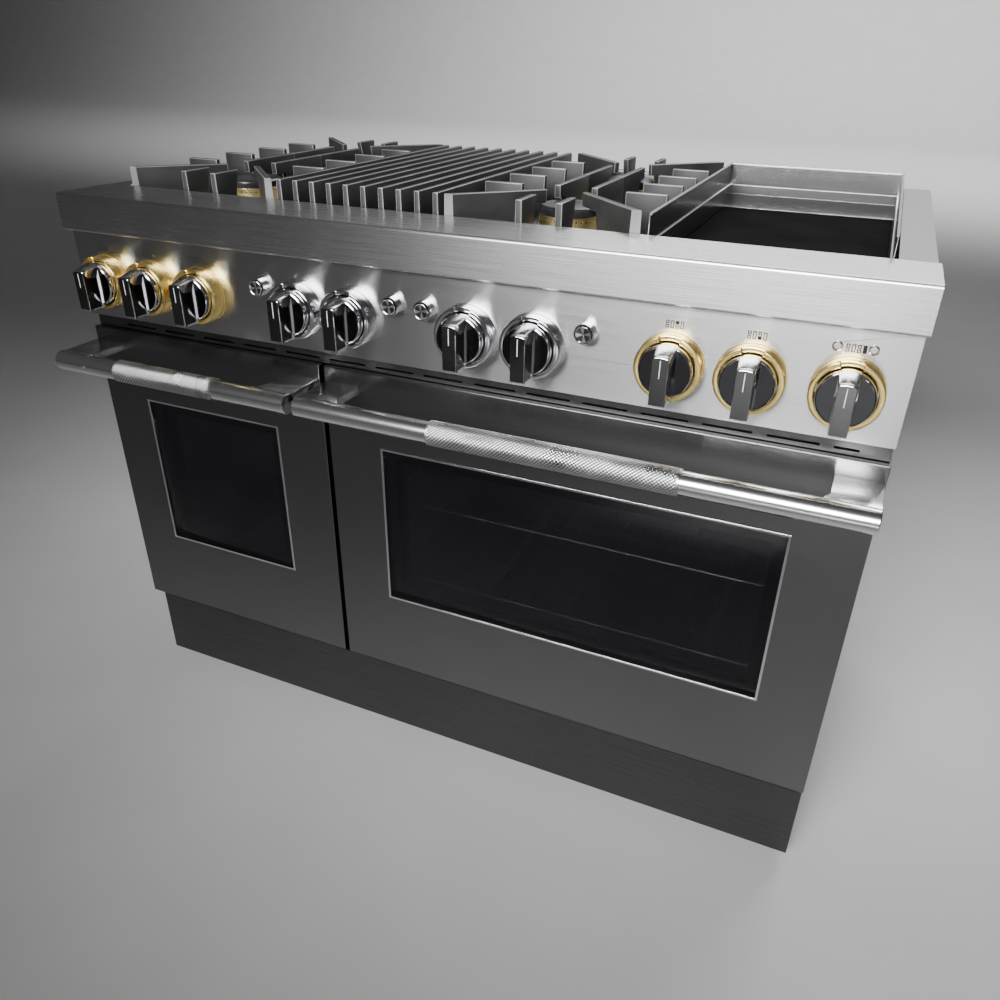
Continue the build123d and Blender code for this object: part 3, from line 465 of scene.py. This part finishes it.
# ---------------------------------------------------------------- CAD nodes that stay
def dress(node, key, rounding):
    """Gives a CAD node its material and eases its edges; rounding is in millimetres."""
    piece = frame["nodes"][node]
    piece.data.materials.clear()
    piece.data.materials.append(MATS[key])
    if rounding:
        weld = piece.modifiers.new("weld", "WELD")
        weld.merge_threshold = 1e-5
        ease = piece.modifiers.new("ease", "BEVEL")
        ease.width = rounding * MM
        ease.segments = 2
        ease.limit_method = "ANGLE"
        ease.angle_limit = radians(35)
        ease.use_clamp_overlap = True
        ease.harden_normals = False
    piece.data.shade_smooth()
    smooth = piece.modifiers.new("flat", "WEIGHTED_NORMAL")
    smooth.keep_sharp = True


DRESSED = {  # CAD node: its material and the rounding of its edges in millimetres
    "side_panels": ("casing", 0.5), "back_panel": ("zinc", 0.4), "chassis_frame": ("zinc", 0.4),
    "kick_panel": ("kick", 0.5), "levelling_feet": ("zinc", 0.8), "bullnose": ("nose", 0.6),
    "control_panel": ("panel", 0.5), "vent_strip": ("vent", 0.3), "cooktop_deck": ("deck", 0.6),
    "burner_heads": ("burner_brass", 0.5), "tube_burners": ("casing", 0), "gas_manifold": ("pipe", 0),
    "gas_valves": ("alloy", 0.6), "oven_liner_left": ("oven", 0.5), "oven_liner_right": ("oven", 0.5),
    "door_gaskets": ("gasket", 0.8), "griddle_plate": ("griddle", 1.0), "griddle_guard": ("guard", 0.5),
    "convection_fan_left": ("alloy", 0.3), "convection_fan_right": ("alloy", 0.3),
}
for side in ("left", "right"):
    DRESSED[f"door_{side}_skin"] = ("door", 0.5)
    DRESSED[f"door_{side}_trim"] = ("chrome", 0.4)
    DRESSED[f"door_{side}_liner"] = ("oven", 0.5)
    DRESSED[f"door_{side}_hinges"] = ("zinc", 0.5)


# ---------------------------------------------------------------- knobs, rings, buttons
def centre_of(node):
    """The middle of a node's box."""
    low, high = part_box(node)
    return (low + high) / 2


def knob_axis(node):
    """The point where a knob's turning axis meets the control panel."""
    joint = next(j for j in frame["joints"] if j["child"] == node)
    return Vector((joint["pos_m"][0], PANEL_Y, joint["pos_m"][2]))


def blade_section(share):
    """A knob blade's front view at a depth: 0 at its front face, 1 at the disc, where it is wider."""
    top = BLADE_RISE + 6 * MM * share
    half = BLADE_HALF + 3 * MM * share ** 1.5
    crown = 2.2 * MM
    angles = [pi * step / 10 for step in range(1, 10)]
    over = [(half * cos(angle), top - crown + crown * sin(angle)) for angle in angles]
    right = [(BLADE_HALF, -BLADE_DROP), (BLADE_HALF, 12 * MM), (half, top - 2.4 * MM)]
    left = [(-x, z) for x, z in reversed(right)]
    return right + over + left


# DARK is the near-black chrome: painted shade and painted dark reflection.
CHROME, DARK, FACE, WHITE = range(4)  # a knob's materials


def add_disc(bm, at):
    """The round body: a stem bore at the back, a bright lipped rim and a front. The bore and the front take
    the near-black chrome: painted shade in the bore and a painted dark reflection on the front.
    """
    bore_end = 26 * MM
    back = 4 * MM
    profile = [(0, bore_end), (STEM_BORE_R, bore_end), (STEM_BORE_R, back), (DISC_R - 2 * MM, back),
               (DISC_R, back + 2 * MM), (DISC_R, DISC_FRONT - 1.6 * MM),
               (DISC_R - 0.6 * MM, DISC_FRONT - 0.4 * MM), (DISC_R - 1.4 * MM, DISC_FRONT),
               (DISC_R - 2.2 * MM, DISC_FRONT - 0.6 * MM), (0, DISC_FRONT - 1.2 * MM)]
    lathe(bm, profile, at, [DARK] * 2 + [CHROME] * 6 + [DARK])


def add_grip_blade(bm, at):
    """The polished blade, lofted from its eased front edge back into the disc."""
    eased = in_mm((0, 1.0), (0.4, 0.35), (1.2, 0))  # distance behind the front, inset there
    plain = in_mm((6, 0), (12, 0), (18, 0), (24, 0), (28, 0))
    sections = []
    for behind, inset in eased + plain:
        outline = blade_section(behind / (BLADE_FRONT - BLADE_ROOT))
        sections.append([at + Vector((x - copysign(inset, x), behind - BLADE_FRONT, z - copysign(inset, z)))
                         for x, z in outline])
    loft(bm, sections)


def add_cheeks(bm, at):
    """The flat sides of the blade, just proud of its polished edges, in the near-black chrome: a painted dark
    reflection.
    """
    outline = in_mm((-33.5, 22), (-36, 25.5), (-41, 26), (-51, 23.6), (-54.4, 21), (-54.4, -32), (-33.5, -32))
    prism(bm, outline, at, (1, 0, 0), (0, 1, 0), (0, 0, 1), 2 * BLADE_HALF + 0.3 * MM, DARK)


def add_front_plate(bm, front):
    """The satin plate on the blade's front, a little smaller than the blade."""
    outline = [(x * 0.93, z * 0.955 + 0.2 * MM) for x, z in blade_section(0)]
    middle = front + Vector((0, 0.35 * MM, 0))
    prism(bm, outline, middle, (0, 1, 0), (1, 0, 0), (0, 0, 1), 1 * MM, FACE)


def add_fillets(bm, at):
    """A bright three-sided strip down each side of the blade, where it meets the disc."""
    leg = 2.8 * MM
    for side in (-1, 1):
        strip = [(0, 0), (side * leg, 0), (0, -leg)]
        root = at + Vector((side * (BLADE_HALF - 0.05 * MM), -28.6 * MM, -1 * MM))
        prism(bm, strip, root, (0, 0, 1), (1, 0, 0), (0, 1, 0), 52 * MM, CHROME)


def add_pointer(bm, front):
    """The white pointer line, with a dot past each end."""
    half = 0.45 * MM
    low = front + Vector((-half, -0.3 * MM, 3 * MM))
    high = front + Vector((half, 0, 20 * MM))
    slab(bm, low, high, WHITE, 0.1 * MM, 1)
    dot = in_mm((0, -0.2), (0.7, -0.2), (0.7, 0.2), (0, 0.3))
    for height in (1.6 * MM, 21.4 * MM):
        lathe(bm, dot, front + Vector((0, 0, height)), WHITE, 12)


def build_knob(node):
    """A polished disc whose face is painted near-black as a dark reflection, a tall grip blade and a pointer
    line.
    """
    at = knob_axis(node)
    front = at + Vector((0, -BLADE_FRONT, 0))
    bm = bmesh.new()
    add_disc(bm, at)
    add_grip_blade(bm, at)
    add_cheeks(bm, at)
    add_front_plate(bm, front)
    add_fillets(bm, at)
    add_pointer(bm, front)
    materials = ["chrome", "chrome_painted_shade", "blade_face", "white"]
    finish_piece(f"{node}_body", bm, node, materials, [node])


def ring_profile(angle):
    """The bezel's section at an angle in degrees; its front is cut back in a notch at the top."""
    in_notch = NOTCH_ARC[0] < angle < NOTCH_ARC[1]
    tall = RING_TALL - (NOTCH_DEEP if in_notch else 0)
    front = [(RING_IN, tall - 1.6 * MM), (RING_IN + 0.5 * MM, tall - 0.5 * MM), (RING_IN + 1.6 * MM, tall),
             (RING_OUT - 1.4 * MM, tall), (RING_OUT - 0.4 * MM, tall - 0.4 * MM), (RING_OUT, tall - 1.4 * MM)]
    groove = RING_OUT - 0.7 * MM
    flange = RING_OUT + 0.8 * MM
    back = [(RING_OUT, 3.4 * MM), (groove, 3.0 * MM), (groove, 2.4 * MM), (flange - 0.3 * MM, 2.3 * MM),
            (flange, 1.9 * MM), (flange, 0)]
    return [(RING_IN, 0), *front, *back, (RING_IN, 0)]


def build_rings():
    """The fixed bezels: brass round the gas knobs, chrome round the oven knobs and buttons."""
    sides = 180
    bm = bmesh.new()
    for node in GAS_KNOBS:
        lathe(bm, ring_profile, knob_axis(node), 0, sides)
    finish_piece("brass_bezels", bm, "range_body", ["brass"], ["brass_knob_rings"])
    bm = bmesh.new()
    for node in OVEN_KNOBS:
        lathe(bm, ring_profile, knob_axis(node), 0, sides)
    collar = [(COLLAR_IN, 0), (COLLAR_IN, COLLAR_TALL - 0.8 * MM), (COLLAR_IN + 0.5 * MM, COLLAR_TALL),
              (COLLAR_OUT - 0.4 * MM, COLLAR_TALL), (COLLAR_OUT, COLLAR_TALL - 0.6 * MM), (COLLAR_OUT, 0),
              (COLLAR_IN, 0)]
    for node in BUTTONS:
        at = centre_of(node)
        lathe(bm, collar, (at.x, PANEL_Y, at.z), 0, 64)
    finish_piece("chrome_bezels", bm, "range_body", ["chrome"], ["chrome_rings"])


def painted_highlight_metal(name, centre):
    """Metal with painted highlights: four bright and four dark wedges that meet at a centre on the panel,
    painted highlight and painted shade standing in for the light on lathe-turned metal.
    """
    material, nodes, links, shader = new_material(name)
    shader.inputs["Metallic"].default_value = 1.0
    shader.inputs["Roughness"].default_value = 0.22
    where = nodes.new("ShaderNodeTexCoord")
    parts = nodes.new("ShaderNodeSeparateXYZ")
    links.new(where.outputs["Object"], parts.inputs["Vector"])
    sideways = maths(nodes, links, "SUBTRACT", parts.outputs["X"], centre.x)
    upwards = maths(nodes, links, "SUBTRACT", parts.outputs["Z"], centre.z)
    angle = maths(nodes, links, "ARCTAN2", upwards, sideways)
    highlight_wedges = maths(nodes, links, "MULTIPLY_ADD", angle, 4.0, 0.9)
    wave = maths(nodes, links, "SINE", highlight_wedges)
    links.new(ramp(nodes, links, wave, 0.16, 0.86, 0.0, 0.75), shader.inputs["Base Color"])
    return material


def build_button(node):
    """A push button whose face is a shallow cone inside a raised lip, coloured with painted highlight wedges;
    its side inside the collar is painted near-black as shade in the gap.
    """
    at = centre_of(node)
    MATS[node] = painted_highlight_metal(f"turned_{node}", at)
    # dark is the near-black chrome: painted shade on the button's side in the gap inside its collar
    painted_highlight, bright, dark = range(3)
    back = -5 * MM
    edge = 0.4 * MM
    barrel = [(0, back), (BUTTON_R - edge, back), (BUTTON_R, back + edge),
              (BUTTON_R, BUTTON_FRONT - 0.8 * MM)]
    lip = [(BUTTON_R - edge, BUTTON_FRONT - 0.2 * MM), (10 * MM, BUTTON_FRONT),
           (9.5 * MM, BUTTON_FRONT - 0.3 * MM), (9.2 * MM, BUTTON_FRONT - 1 * MM)]
    cone = in_mm((1.2, 13.2), (0.8, 12.8), (0, 12.7))
    spans = [bright] * 2 + [dark] + [bright] * 4 + [painted_highlight] * 3
    bm = bmesh.new()
    lathe(bm, barrel + lip + cone, (at.x, PANEL_Y, at.z), spans, 72)
    finish_piece(f"{node}_body", bm, node, [node, "chrome", "chrome_painted_shade"], [node])


# ---------------------------------------------------------------- panel markings and lamps
HOBS = ("pair", "single", "pair", "single")  # burner pair, grill, burner pair, griddle
FILLED = {  # each gas knob's place in the row, and 1 for the rear burner of a pair
    "knob_burner_left_rear": (0, 1), "knob_burner_left_front": (0, 0), "knob_grill": (1, 0),
    "knob_burner_right_rear": (2, 1), "knob_burner_right_front": (2, 0), "knob_griddle": (3, 0),
}


def mark(bm, centre_x, centre_z, width, height, solid):
    """One printed rectangle on the control panel, solid or in outline."""
    low = (centre_x - width / 2, PANEL_Y - PROUD, centre_z - height / 2)
    high = (centre_x + width / 2, PANEL_Y + 0.2 * MM, centre_z + height / 2)
    if solid:
        slab(bm, low, high)
    else:
        frame_of(bm, low, high, LINE)


def build_markings():
    """Above each gas knob: a row of small rectangles for the hob's sections, its own one filled."""
    gap = 0.5 * MM
    bm = bmesh.new()
    for node, (section, level) in FILLED.items():
        middle = knob_axis(node).x
        for place, kind in enumerate(HOBS):
            x = middle + (place - 1.5) * ICON_PITCH
            chosen = place == section
            if kind == "single":
                mark(bm, x, ICON_Z, ICON_W, ICON_H, chosen)
                continue
            for step in (0, 1):
                z = ICON_Z + (step - 0.5) * (ICON_H / 2 + gap)
                mark(bm, x, z, ICON_W, ICON_H / 2 - gap, chosen and step == level)
    finish_piece("panel_markings", bm, "range_body", ["black"])


def build_lamps():
    """Two indicator lamps beside the griddle knob's marking: a bezel with a domed lens."""
    bezel = in_mm((3.9, -2), (3.9, 1.2), (4.4, 1.7), (5.2, 1.5), (5.6, 0.8), (5.6, 0), (3.9, -2))
    lens = in_mm((0, -2), (3.8, -2), (3.8, 0.6), (3.2, 1.3), (1.8, 1.8), (0, 2.0))
    bm = bmesh.new()
    for x in LAMP_X:
        lathe(bm, bezel, (x, PANEL_Y, LAMP_Z), 0, 40)
        lathe(bm, lens, (x, PANEL_Y, LAMP_Z), 1, 40)
    finish_piece("indicator_lamps", bm, "range_body", ["chrome", "lens"])


# ---------------------------------------------------------------- doors
def knurl_cut(phase):
    """How deep a groove is at a phase, from 0 on the ridge to 1 at its bottom."""
    return max(0.0, 1 - abs(sin(phase / 2)) / 0.55)


def grip_depth(angle, x, starts):
    """Depth of the knurl at a place round and along the grip: one way is cut deeper."""
    slope = x / KNURL * 2 * pi
    return 0.85 * knurl_cut(starts * angle + slope) + 0.45 * knurl_cut(starts * angle - slope)


def build_grip(bm, start, end, metal, groove):
    """The knurled sleeve: crossing diagonal grooves, painted near-black at the bottom as shade, and smooth
    ends.
    """
    starts = round(2 * pi * GRIP_R / KNURL)
    around = 8 * starts
    rows = int((end - start) / (KNURL / 8))
    step = (end - start) / rows
    smooth_end = 3 * MM
    smooth_depth = 0.15
    # faces deeper than this are painted near-black as shade in the grooves
    painted_shade_depth = 0.40
    loops = []
    depths = []
    for row in range(rows + 1):
        x = start + row * step
        plain = min(row, rows - row) * step < smooth_end
        ring = []
        for index in range(around):
            angle = 2 * pi * index / around
            depth = smooth_depth if plain else grip_depth(angle, x, starts)
            radius = GRIP_R - (0.05 + depth) * MM
            ring.append(bm.verts.new((x, HANDLE_Y + radius * cos(angle), HANDLE_Z + radius * sin(angle))))
            depths.append(depth)
        loops.append(ring)
    for row in range(rows):
        for index in range(around):
            after = (index + 1) % around
            face = bm.faces.new((loops[row][index], loops[row][after],
                                 loops[row + 1][after], loops[row + 1][index]))
            corners = (row * around + index, row * around + after,
                       (row + 1) * around + index, (row + 1) * around + after)
            deep = sum(depths[corner] for corner in corners) / 4 > painted_shade_depth
            face.material_index = groove if deep else metal
    for ring in (loops[0], loops[-1]):
        bm.faces.new(ring).material_index = metal


def build_bracket(bm, end, inwards):
    """A handle end: a stub of bar, a flat post back to the door and a cove under the post."""
    lip = 1.2 * MM
    edge = 0.4 * MM
    stub = [(0, 0), (BAR_R - lip, 0), (BAR_R, lip), (BAR_R, BRACKET - edge), (BAR_R - edge, BRACKET),
            (0, BRACKET)]
    lathe(bm, stub, (end, HANDLE_Y, HANDLE_Z), 0, 64, (inwards, 0, 0))
    corner = 10 * MM
    bar_back = HANDLE_Y + BAR_R - 4 * MM
    bend = arc((POST + corner, bar_back + corner), corner, 180, 247.5, 6)
    plan = [(0, HANDLE_Y), (0, PANEL_Y), (POST, PANEL_Y), *bend, (POST + 7 * MM, HANDLE_Y)]
    plan = [(a * inwards, b) for a, b in plan]
    place = (end, 0, HANDLE_Z + POST_RISE)
    prism(bm, plan, place, (0, 0, 1), (1, 0, 0), (0, 1, 0), POST_THICK, 0, 0.8 * MM)
    cove = 9 * MM
    under = HANDLE_Z + 1.5 * MM
    back = HANDLE_Y + 13 * MM
    overlap = 2 * MM
    hollow = arc((back + cove, under - cove), cove, 90, 180, 8)
    side_view = [(HANDLE_Y, under + overlap), (back + cove, under + overlap), *hollow,
                 (HANDLE_Y, under - cove)]
    middle = (end + inwards * (POST / 2 + 0.5 * MM), 0, 0)
    prism(bm, side_view, middle, (1, 0, 0), (0, 1, 0), (0, 0, 1), POST - 1 * MM, 0, 0.3 * MM, 1)


def build_handle(side):
    """One door handle: brackets, smooth bar and knurled grip."""
    node = f"door_{side}_handle"
    low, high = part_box(node)
    grip_start, grip_end = GRIPS[side]
    bar, grip, groove = range(3)
    bm = bmesh.new()
    build_bracket(bm, low.x, 1)
    build_bracket(bm, high.x, -1)
    for start, end in ((low.x + BRACKET, grip_start), (grip_end, high.x - BRACKET)):
        rod(bm, (start, HANDLE_Y, HANDLE_Z), (end, HANDLE_Y, HANDLE_Z), BAR_R, bar, 64, 0.03)
    build_grip(bm, grip_start, grip_end, grip, groove)
    materials = ["bar", "grip", "groove"]
    finish_piece(f"door_{side}_handle_body", bm, f"door_{side}", materials, [node])


def build_door_glass(side):
    """Both panes of a door: the dark outer one with its printed border, and the inner one."""
    node = f"door_{side}_glass"
    low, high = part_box(node)
    outer, border, inner = range(3)
    pane_back = low.y + PANE
    bm = bmesh.new()
    slab(bm, (low.x, low.y, low.z), (high.x, pane_back, high.z), outer, 0.4 * MM)
    frame_of(bm, (low.x, pane_back, low.z), (high.x, pane_back + 0.2 * MM, high.z), GLASS_BORDER, border)
    slab(bm, (low.x + INNER_INSET, high.y - PANE, low.z + INNER_INSET),
         (high.x - INNER_INSET, high.y, high.z - INNER_INSET), inner, 0.4 * MM)
    materials = ["glass", "frit", "inner_glass"]
    finish_piece(f"door_{side}_panes", bm, f"door_{side}", materials, [node])


# ---------------------------------------------------------------- cooktop
# RIM takes the lighter iron: painted highlight on the eased edges and cut ends.
IRON, RIM = range(2)  # a casting's materials: its faces and its eased edges


def add_blade(bm, start, heading, outline, foot=BLADE_FOOT, top=BLADE_TOP):
    """One upright cast blade, thicker at its foot, with rounded edges. Returns a list of its vertices."""
    along = Vector((cos(heading), sin(heading), 0))
    across = Vector((-sin(heading), cos(heading), 0))
    before = set(bm.verts)
    prism(bm, outline, (start[0], start[1], 0), across, along, (0, 0, 1), top, IRON, TOP_ROUND, rim=RIM)
    low = min(b for _, b in outline)
    high = max(b for _, b in outline)
    origin = Vector((start[0], start[1], 0))
    made = [vert for vert in bm.verts if vert not in before]
    for vert in made:
        share = (high - vert.co.z) / (high - low)
        offset = (vert.co - origin).dot(across)
        vert.co += across * offset * (foot / top - 1) * share
    return made


def trim(bm, verts, place, outwards, material):
    """Cuts the mesh round some vertices off flat at a plane and closes the cut in a material."""
    edges = dict.fromkeys(edge for vert in verts for edge in vert.link_edges)
    faces = dict.fromkeys(face for vert in verts for face in vert.link_faces)
    made = bmesh.ops.bisect_plane(bm, geom=[*verts, *edges, *faces], dist=1e-7, plane_co=place,
                                  plane_no=outwards, clear_outer=True)
    cut = [item for item in made["geom_cut"] if isinstance(item, bmesh.types.BMEdge)]
    for face in bmesh.ops.contextual_create(bm, geom=cut)["faces"]:
        face.material_index = material


def blade_outline(run, slope, relief=0.0):
    """A blade's side view from the frame inwards: run is its length along the top, slope how much
    shorter its foot is, and relief the length cut away below its tip."""
    points = [(0, GRATE_LOW), (run - slope, GRATE_LOW)]
    if relief:
        points += [(run - relief, RELIEF_Z), (run - 1 * MM, RELIEF_Z)]
    return points + [(run, GRATE_TOP), (0, GRATE_TOP)]


def build_grate(node, towards):
    """A burner grate: low frame, corner diagonals, front and side fingers and two long bars.
    towards is 1 for a front grate and -1 for a rear one, which is its mirror image."""
    low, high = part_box(node)
    centre = (low.x + high.x) / 2
    front, middle = (low.y, high.y) if towards > 0 else (high.y, low.y)
    side = "left" if "left" in node else "right"
    burner = centre_of(f"cap_{side}_{'front' if towards > 0 else 'rear'}")
    bm = bmesh.new()
    rail_top = GRATE_LOW + RAIL_TALL
    for x in (low.x, high.x - RAIL):
        slab(bm, (x, low.y, GRATE_LOW), (x + RAIL, high.y, rail_top), 0, 1.5 * MM)
    for y in (low.y, high.y - RAIL):
        slab(bm, (low.x + RAIL / 2, y, GRATE_LOW), (high.x - RAIL / 2, y + RAIL, rail_top), 0, 1.5 * MM)
    inwards = pi / 2 * towards
    overrun = 8 * MM  # a diagonal starts this far outside and is cut flush with the frame
    bar_run = abs(middle - burner.y) - 18 * MM
    long_bar = blade_outline(bar_run, BAR_SLOPE, BAR_RELIEF)
    for hand in (-1, 1):
        corner = Vector((centre + hand * CORNER_SPAN, front))
        tip = Vector((centre + hand * (PAIR_SPAN + 1 * MM), burner.y - towards * 26 * MM))
        reach = tip - corner
        start = corner - reach.normalized() * overrun
        outline = blade_outline(reach.length + overrun, DIAGONAL_SLOPE, DIAGONAL_RELIEF)
        diagonal = add_blade(bm, start, atan2(reach.y, reach.x), outline)
        trim(bm, diagonal, (0, front, 0), (0, -towards, 0), RIM)
        x = centre + hand * PAIR_SPAN
        add_blade(bm, (x, front), inwards, blade_outline(FINGER, FINGER_SLOPE))
        add_blade(bm, (x, middle), -inwards, long_bar)
        edge = centre + hand * (high.x - low.x) / 2
        for y in (burner.y + towards * 8 * MM, middle - towards * 46.3 * MM):
            add_blade(bm, (edge, y), pi if hand > 0 else 0, blade_outline(SIDE_FINGER, SIDE_SLOPE))
    finish_piece(f"{node}_casting", bm, node, ["iron", "iron_edge_highlight"], [node])


def build_grill():
    """The grill grate: ten tapered blades on three low ties."""
    low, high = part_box("grill_grate")
    centre = (low.x + high.x) / 2
    length = high.y - low.y
    foot = GRATE_TOP - GRILL_TALL
    outline = [(0, foot), (length, foot), (length, GRATE_TOP), (0, GRATE_TOP)]
    bm = bmesh.new()
    for index in range(GRILL_BLADES):
        x = centre + (index - (GRILL_BLADES - 1) / 2) * GRILL_PITCH
        add_blade(bm, (x, low.y), pi / 2, outline, GRILL_FOOT, GRILL_TOP)
    for y in (low.y, (low.y + high.y - TIE) / 2, high.y - TIE):
        slab(bm, (low.x, y, low.z), (high.x, y + TIE, low.z + TIE - 1 * MM), 0, 1.5 * MM)
    finish_piece("grill_grate_casting", bm, "grill_grate", ["iron", "iron_edge_highlight"],
                 ["grill_grate"])


def build_cap(node):
    """A burner cap: a flat-topped disc with a shallow rim, a rounded shoulder and a skirt below."""
    low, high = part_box(node)
    middle = (low + high) / 2
    radius = (high.x - low.x) / 2
    tall = high.z - low.z
    skirt_r = 35.4 * MM
    skirt = 5 * MM
    shoulder = 5 * MM
    rim = radius - shoulder - 1.5 * MM
    under = [(0, 0), (skirt_r - 0.4 * MM, 0), (skirt_r, 0.5 * MM), (skirt_r, skirt),
             (radius - 1.2 * MM, skirt), (radius - 0.2 * MM, skirt + 0.6 * MM), (radius, skirt + 1.6 * MM)]
    over = arc((radius - shoulder, tall - 0.6 * MM - shoulder), shoulder, 0, 90, 7)
    dish = [(rim, tall - 0.8 * MM), (rim - 1.5 * MM, tall - 1.2 * MM), (rim - 4 * MM, tall - 0.9 * MM),
            (rim / 2, tall - 0.2 * MM), (0, tall)]
    bm = bmesh.new()
    lathe(bm, under + over + dish, (middle.x, middle.y, low.z), 0, 96, (0, 0, 1))
    finish_piece(f"{node}_dome", bm, node, ["cap"], [node], 50)


def build_guard_hem():
    """The rolled hem along the top edge of the griddle guard, round three sides."""
    low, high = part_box("griddle_guard")
    radius = 1.7 * MM
    z = high.z - radius
    front, left, right, rear = low.y + 1 * MM, low.x + radius, high.x - radius, high.y - radius
    bm = bmesh.new()
    for start, end in (((left, front), (left, rear)), ((right, front), (right, rear)),
                       ((left, rear), (right, rear))):
        rod(bm, (*start, z), (*end, z), radius, 0, 16)
    finish_piece("griddle_guard_hem", bm, "griddle", ["guard"])


# ---------------------------------------------------------------- ovens
def build_rack(node):
    """An oven rack: a heavy wire frame, two stretchers and close wires from front to rear."""
    low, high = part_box(node)
    heavy, medium, fine = 3 * MM, 2.2 * MM, 1.7 * MM  # wire radii
    pitch = 24 * MM
    z = low.z + heavy
    x0, x1, y0, y1 = low.x + heavy, high.x - heavy, low.y + heavy, high.y - heavy
    bm = bmesh.new()
    for start, end in (((x0, y0), (x1, y0)), ((x0, y1), (x1, y1)), ((x0, y0), (x0, y1)),
                       ((x1, y0), (x1, y1))):
        rod(bm, (*start, z), (*end, z), heavy, 0, 14)
    for share in (0.33, 0.67):
        y = y0 + (y1 - y0) * share
        rod(bm, (x0, y, z - 0.8 * MM), (x1, y, z - 0.8 * MM), medium, 0, 10)
    count = int((x1 - x0) / pitch)
    for index in range(1, count):
        x = x0 + (x1 - x0) * index / count
        rod(bm, (x, y0, z + 1.2 * MM), (x, y1, z + 1.2 * MM), fine, 0, 8)
    finish_piece(f"{node}_wires", bm, node, ["rack"], [node])


# ---------------------------------------------------------------- fasteners on the casing
def build_screws():
    """Pan-head screws along the edges of the back panel and the side panels."""
    tall = 1.9 * MM
    head = in_mm((0, 0), (3.6, 0), (3.6, 0.5), (3.0, 1.3), (1.6, 1.8)) + [(0, tall)]
    inset_x, inset_z = 14 * MM, 12 * MM
    sides = 18
    bm = bmesh.new()
    low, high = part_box("back_panel")
    for x in (low.x + inset_x, -0.30, 0.0, 0.30, high.x - inset_x):
        for z in (low.z + inset_z, high.z - inset_z):
            lathe(bm, head, (x, high.y - tall, z), 0, sides, (0, 1, 0))
    side_low, side_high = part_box("side_panels")
    for hand, x in ((-1, side_low.x), (1, side_high.x)):
        for y in (-0.20, 0.08, 0.36):
            for z in (0.062, 0.885):
                lathe(bm, head, (x, y, z), 0, sides, (hand, 0, 0))
    finish_piece("casing_screws", bm, "range_body", ["zinc"])


# ---------------------------------------------------------------- build
for cad_node, (key, rounding) in DRESSED.items():
    dress(cad_node, key, rounding)
for node in KNOBS:
    build_knob(node)
build_rings()
for node in BUTTONS:
    build_button(node)
build_markings()
build_lamps()
for side in ("left", "right"):
    build_handle(side)
    build_door_glass(side)
    build_grate(f"grate_{side}_front", 1)
    build_grate(f"grate_{side}_rear", -1)
    build_cap(f"cap_{side}_front")
    build_cap(f"cap_{side}_rear")
build_grill()
build_guard_hem()
for node in ("left_oven_rack", "right_oven_lower_rack", "right_oven_upper_rack"):
    build_rack(node)
build_screws()


# ---------------------------------------------------------------- camera, floor and lights
def place_camera():
    """A high three-quarter view from the front, a little right of the middle."""
    data = bpy.data.cameras.new("camera")
    data.lens = CAMERA_LENS
    data.sensor_width = 36
    camera = bpy.data.objects.new("camera", data)
    bpy.context.scene.collection.objects.link(camera)
    turn = (Matrix.Rotation(radians(CAMERA_HEADING), 4, "Z")
            @ Matrix.Rotation(radians(90 - CAMERA_DROP), 4, "X")
            @ Matrix.Rotation(radians(CAMERA_ROLL), 4, "Z"))
    camera.matrix_world = Matrix.Translation(CAMERA_PLACE) @ turn
    bpy.context.scene.camera = camera


def lay_floor():
    """A plain pale floor that sweeps up into a backdrop well behind the range."""
    half_width = 40.0
    front = -30.0
    bend_start, bend, wall_top = 12.0, 6.0, 24.0
    profile = [(front, 0.0), (-2.0, 0.0), (2.0, 0.0)]
    profile += arc((bend_start, bend), bend, 270, 360, 16)
    profile += [(bend_start + bend, wall_top)]
    bm = bmesh.new()
    rows = [[bm.verts.new((x, y, z)) for x in (-half_width, 0, half_width)] for y, z in profile]
    for row, after in zip(rows, rows[1:]):
        for index in (0, 1):
            bm.faces.new((row[index], row[index + 1], after[index + 1], after[index]))
    mesh = bpy.data.meshes.new("floor")
    bm.to_mesh(mesh)
    bm.free()
    mesh.shade_smooth()
    floor = bpy.data.objects.new("floor", mesh)
    bpy.context.scene.collection.objects.link(floor)
    material, nodes, links, shader = new_material("floor_paint")
    mottle = object_noise(nodes, links, 4.0)
    links.new(ramp(nodes, links, mottle, 0.58, 0.61), shader.inputs["Base Color"])
    shader.inputs["Roughness"].default_value = 0.75
    mesh.materials.append(material)


def add_light(name, place, target, size, power, spread):
    """A rectangular soft light aimed at a point; spread is its beam's width in degrees."""
    data = bpy.data.lights.new(name, "AREA")
    data.shape = "RECTANGLE"
    data.size, data.size_y = size
    data.energy = power
    data.spread = radians(spread)
    lamp = bpy.data.objects.new(name, data)
    bpy.context.scene.collection.objects.link(lamp)
    direction = Vector(target) - Vector(place)
    turn = direction.to_track_quat("-Z", "Y").to_matrix().to_4x4()
    lamp.matrix_world = Matrix.Translation(place) @ turn


def set_world(grey):
    """An even, dim surround."""
    world = bpy.data.worlds.new("surround")
    bpy.context.scene.world = world
    world.use_nodes = True
    world.node_tree.nodes["Background"].inputs["Color"].default_value = (grey, grey, grey * 1.02, 1)


place_camera()
lay_floor()
set_world(0.06)
add_light("front_softbox", (-0.1, -2.7, 2.1), (0.15, -0.3, 0.9), (2.0, 1.1), power=28, spread=48)
add_light("front_pool", (1.0, -3.3, 2.6), (1.0, -3.1, 0.0), (1.6, 1.0), power=45, spread=50)
add_light("rear_top", (0.5, 1.5, 2.5), (0.2, -0.4, 0.9), (2.4, 0.7), power=26, spread=120)
add_light("backdrop", (0.0, 4.0, 7.0), (0.0, 15.0, 2.0), (12.0, 4.0), power=1500, spread=120)
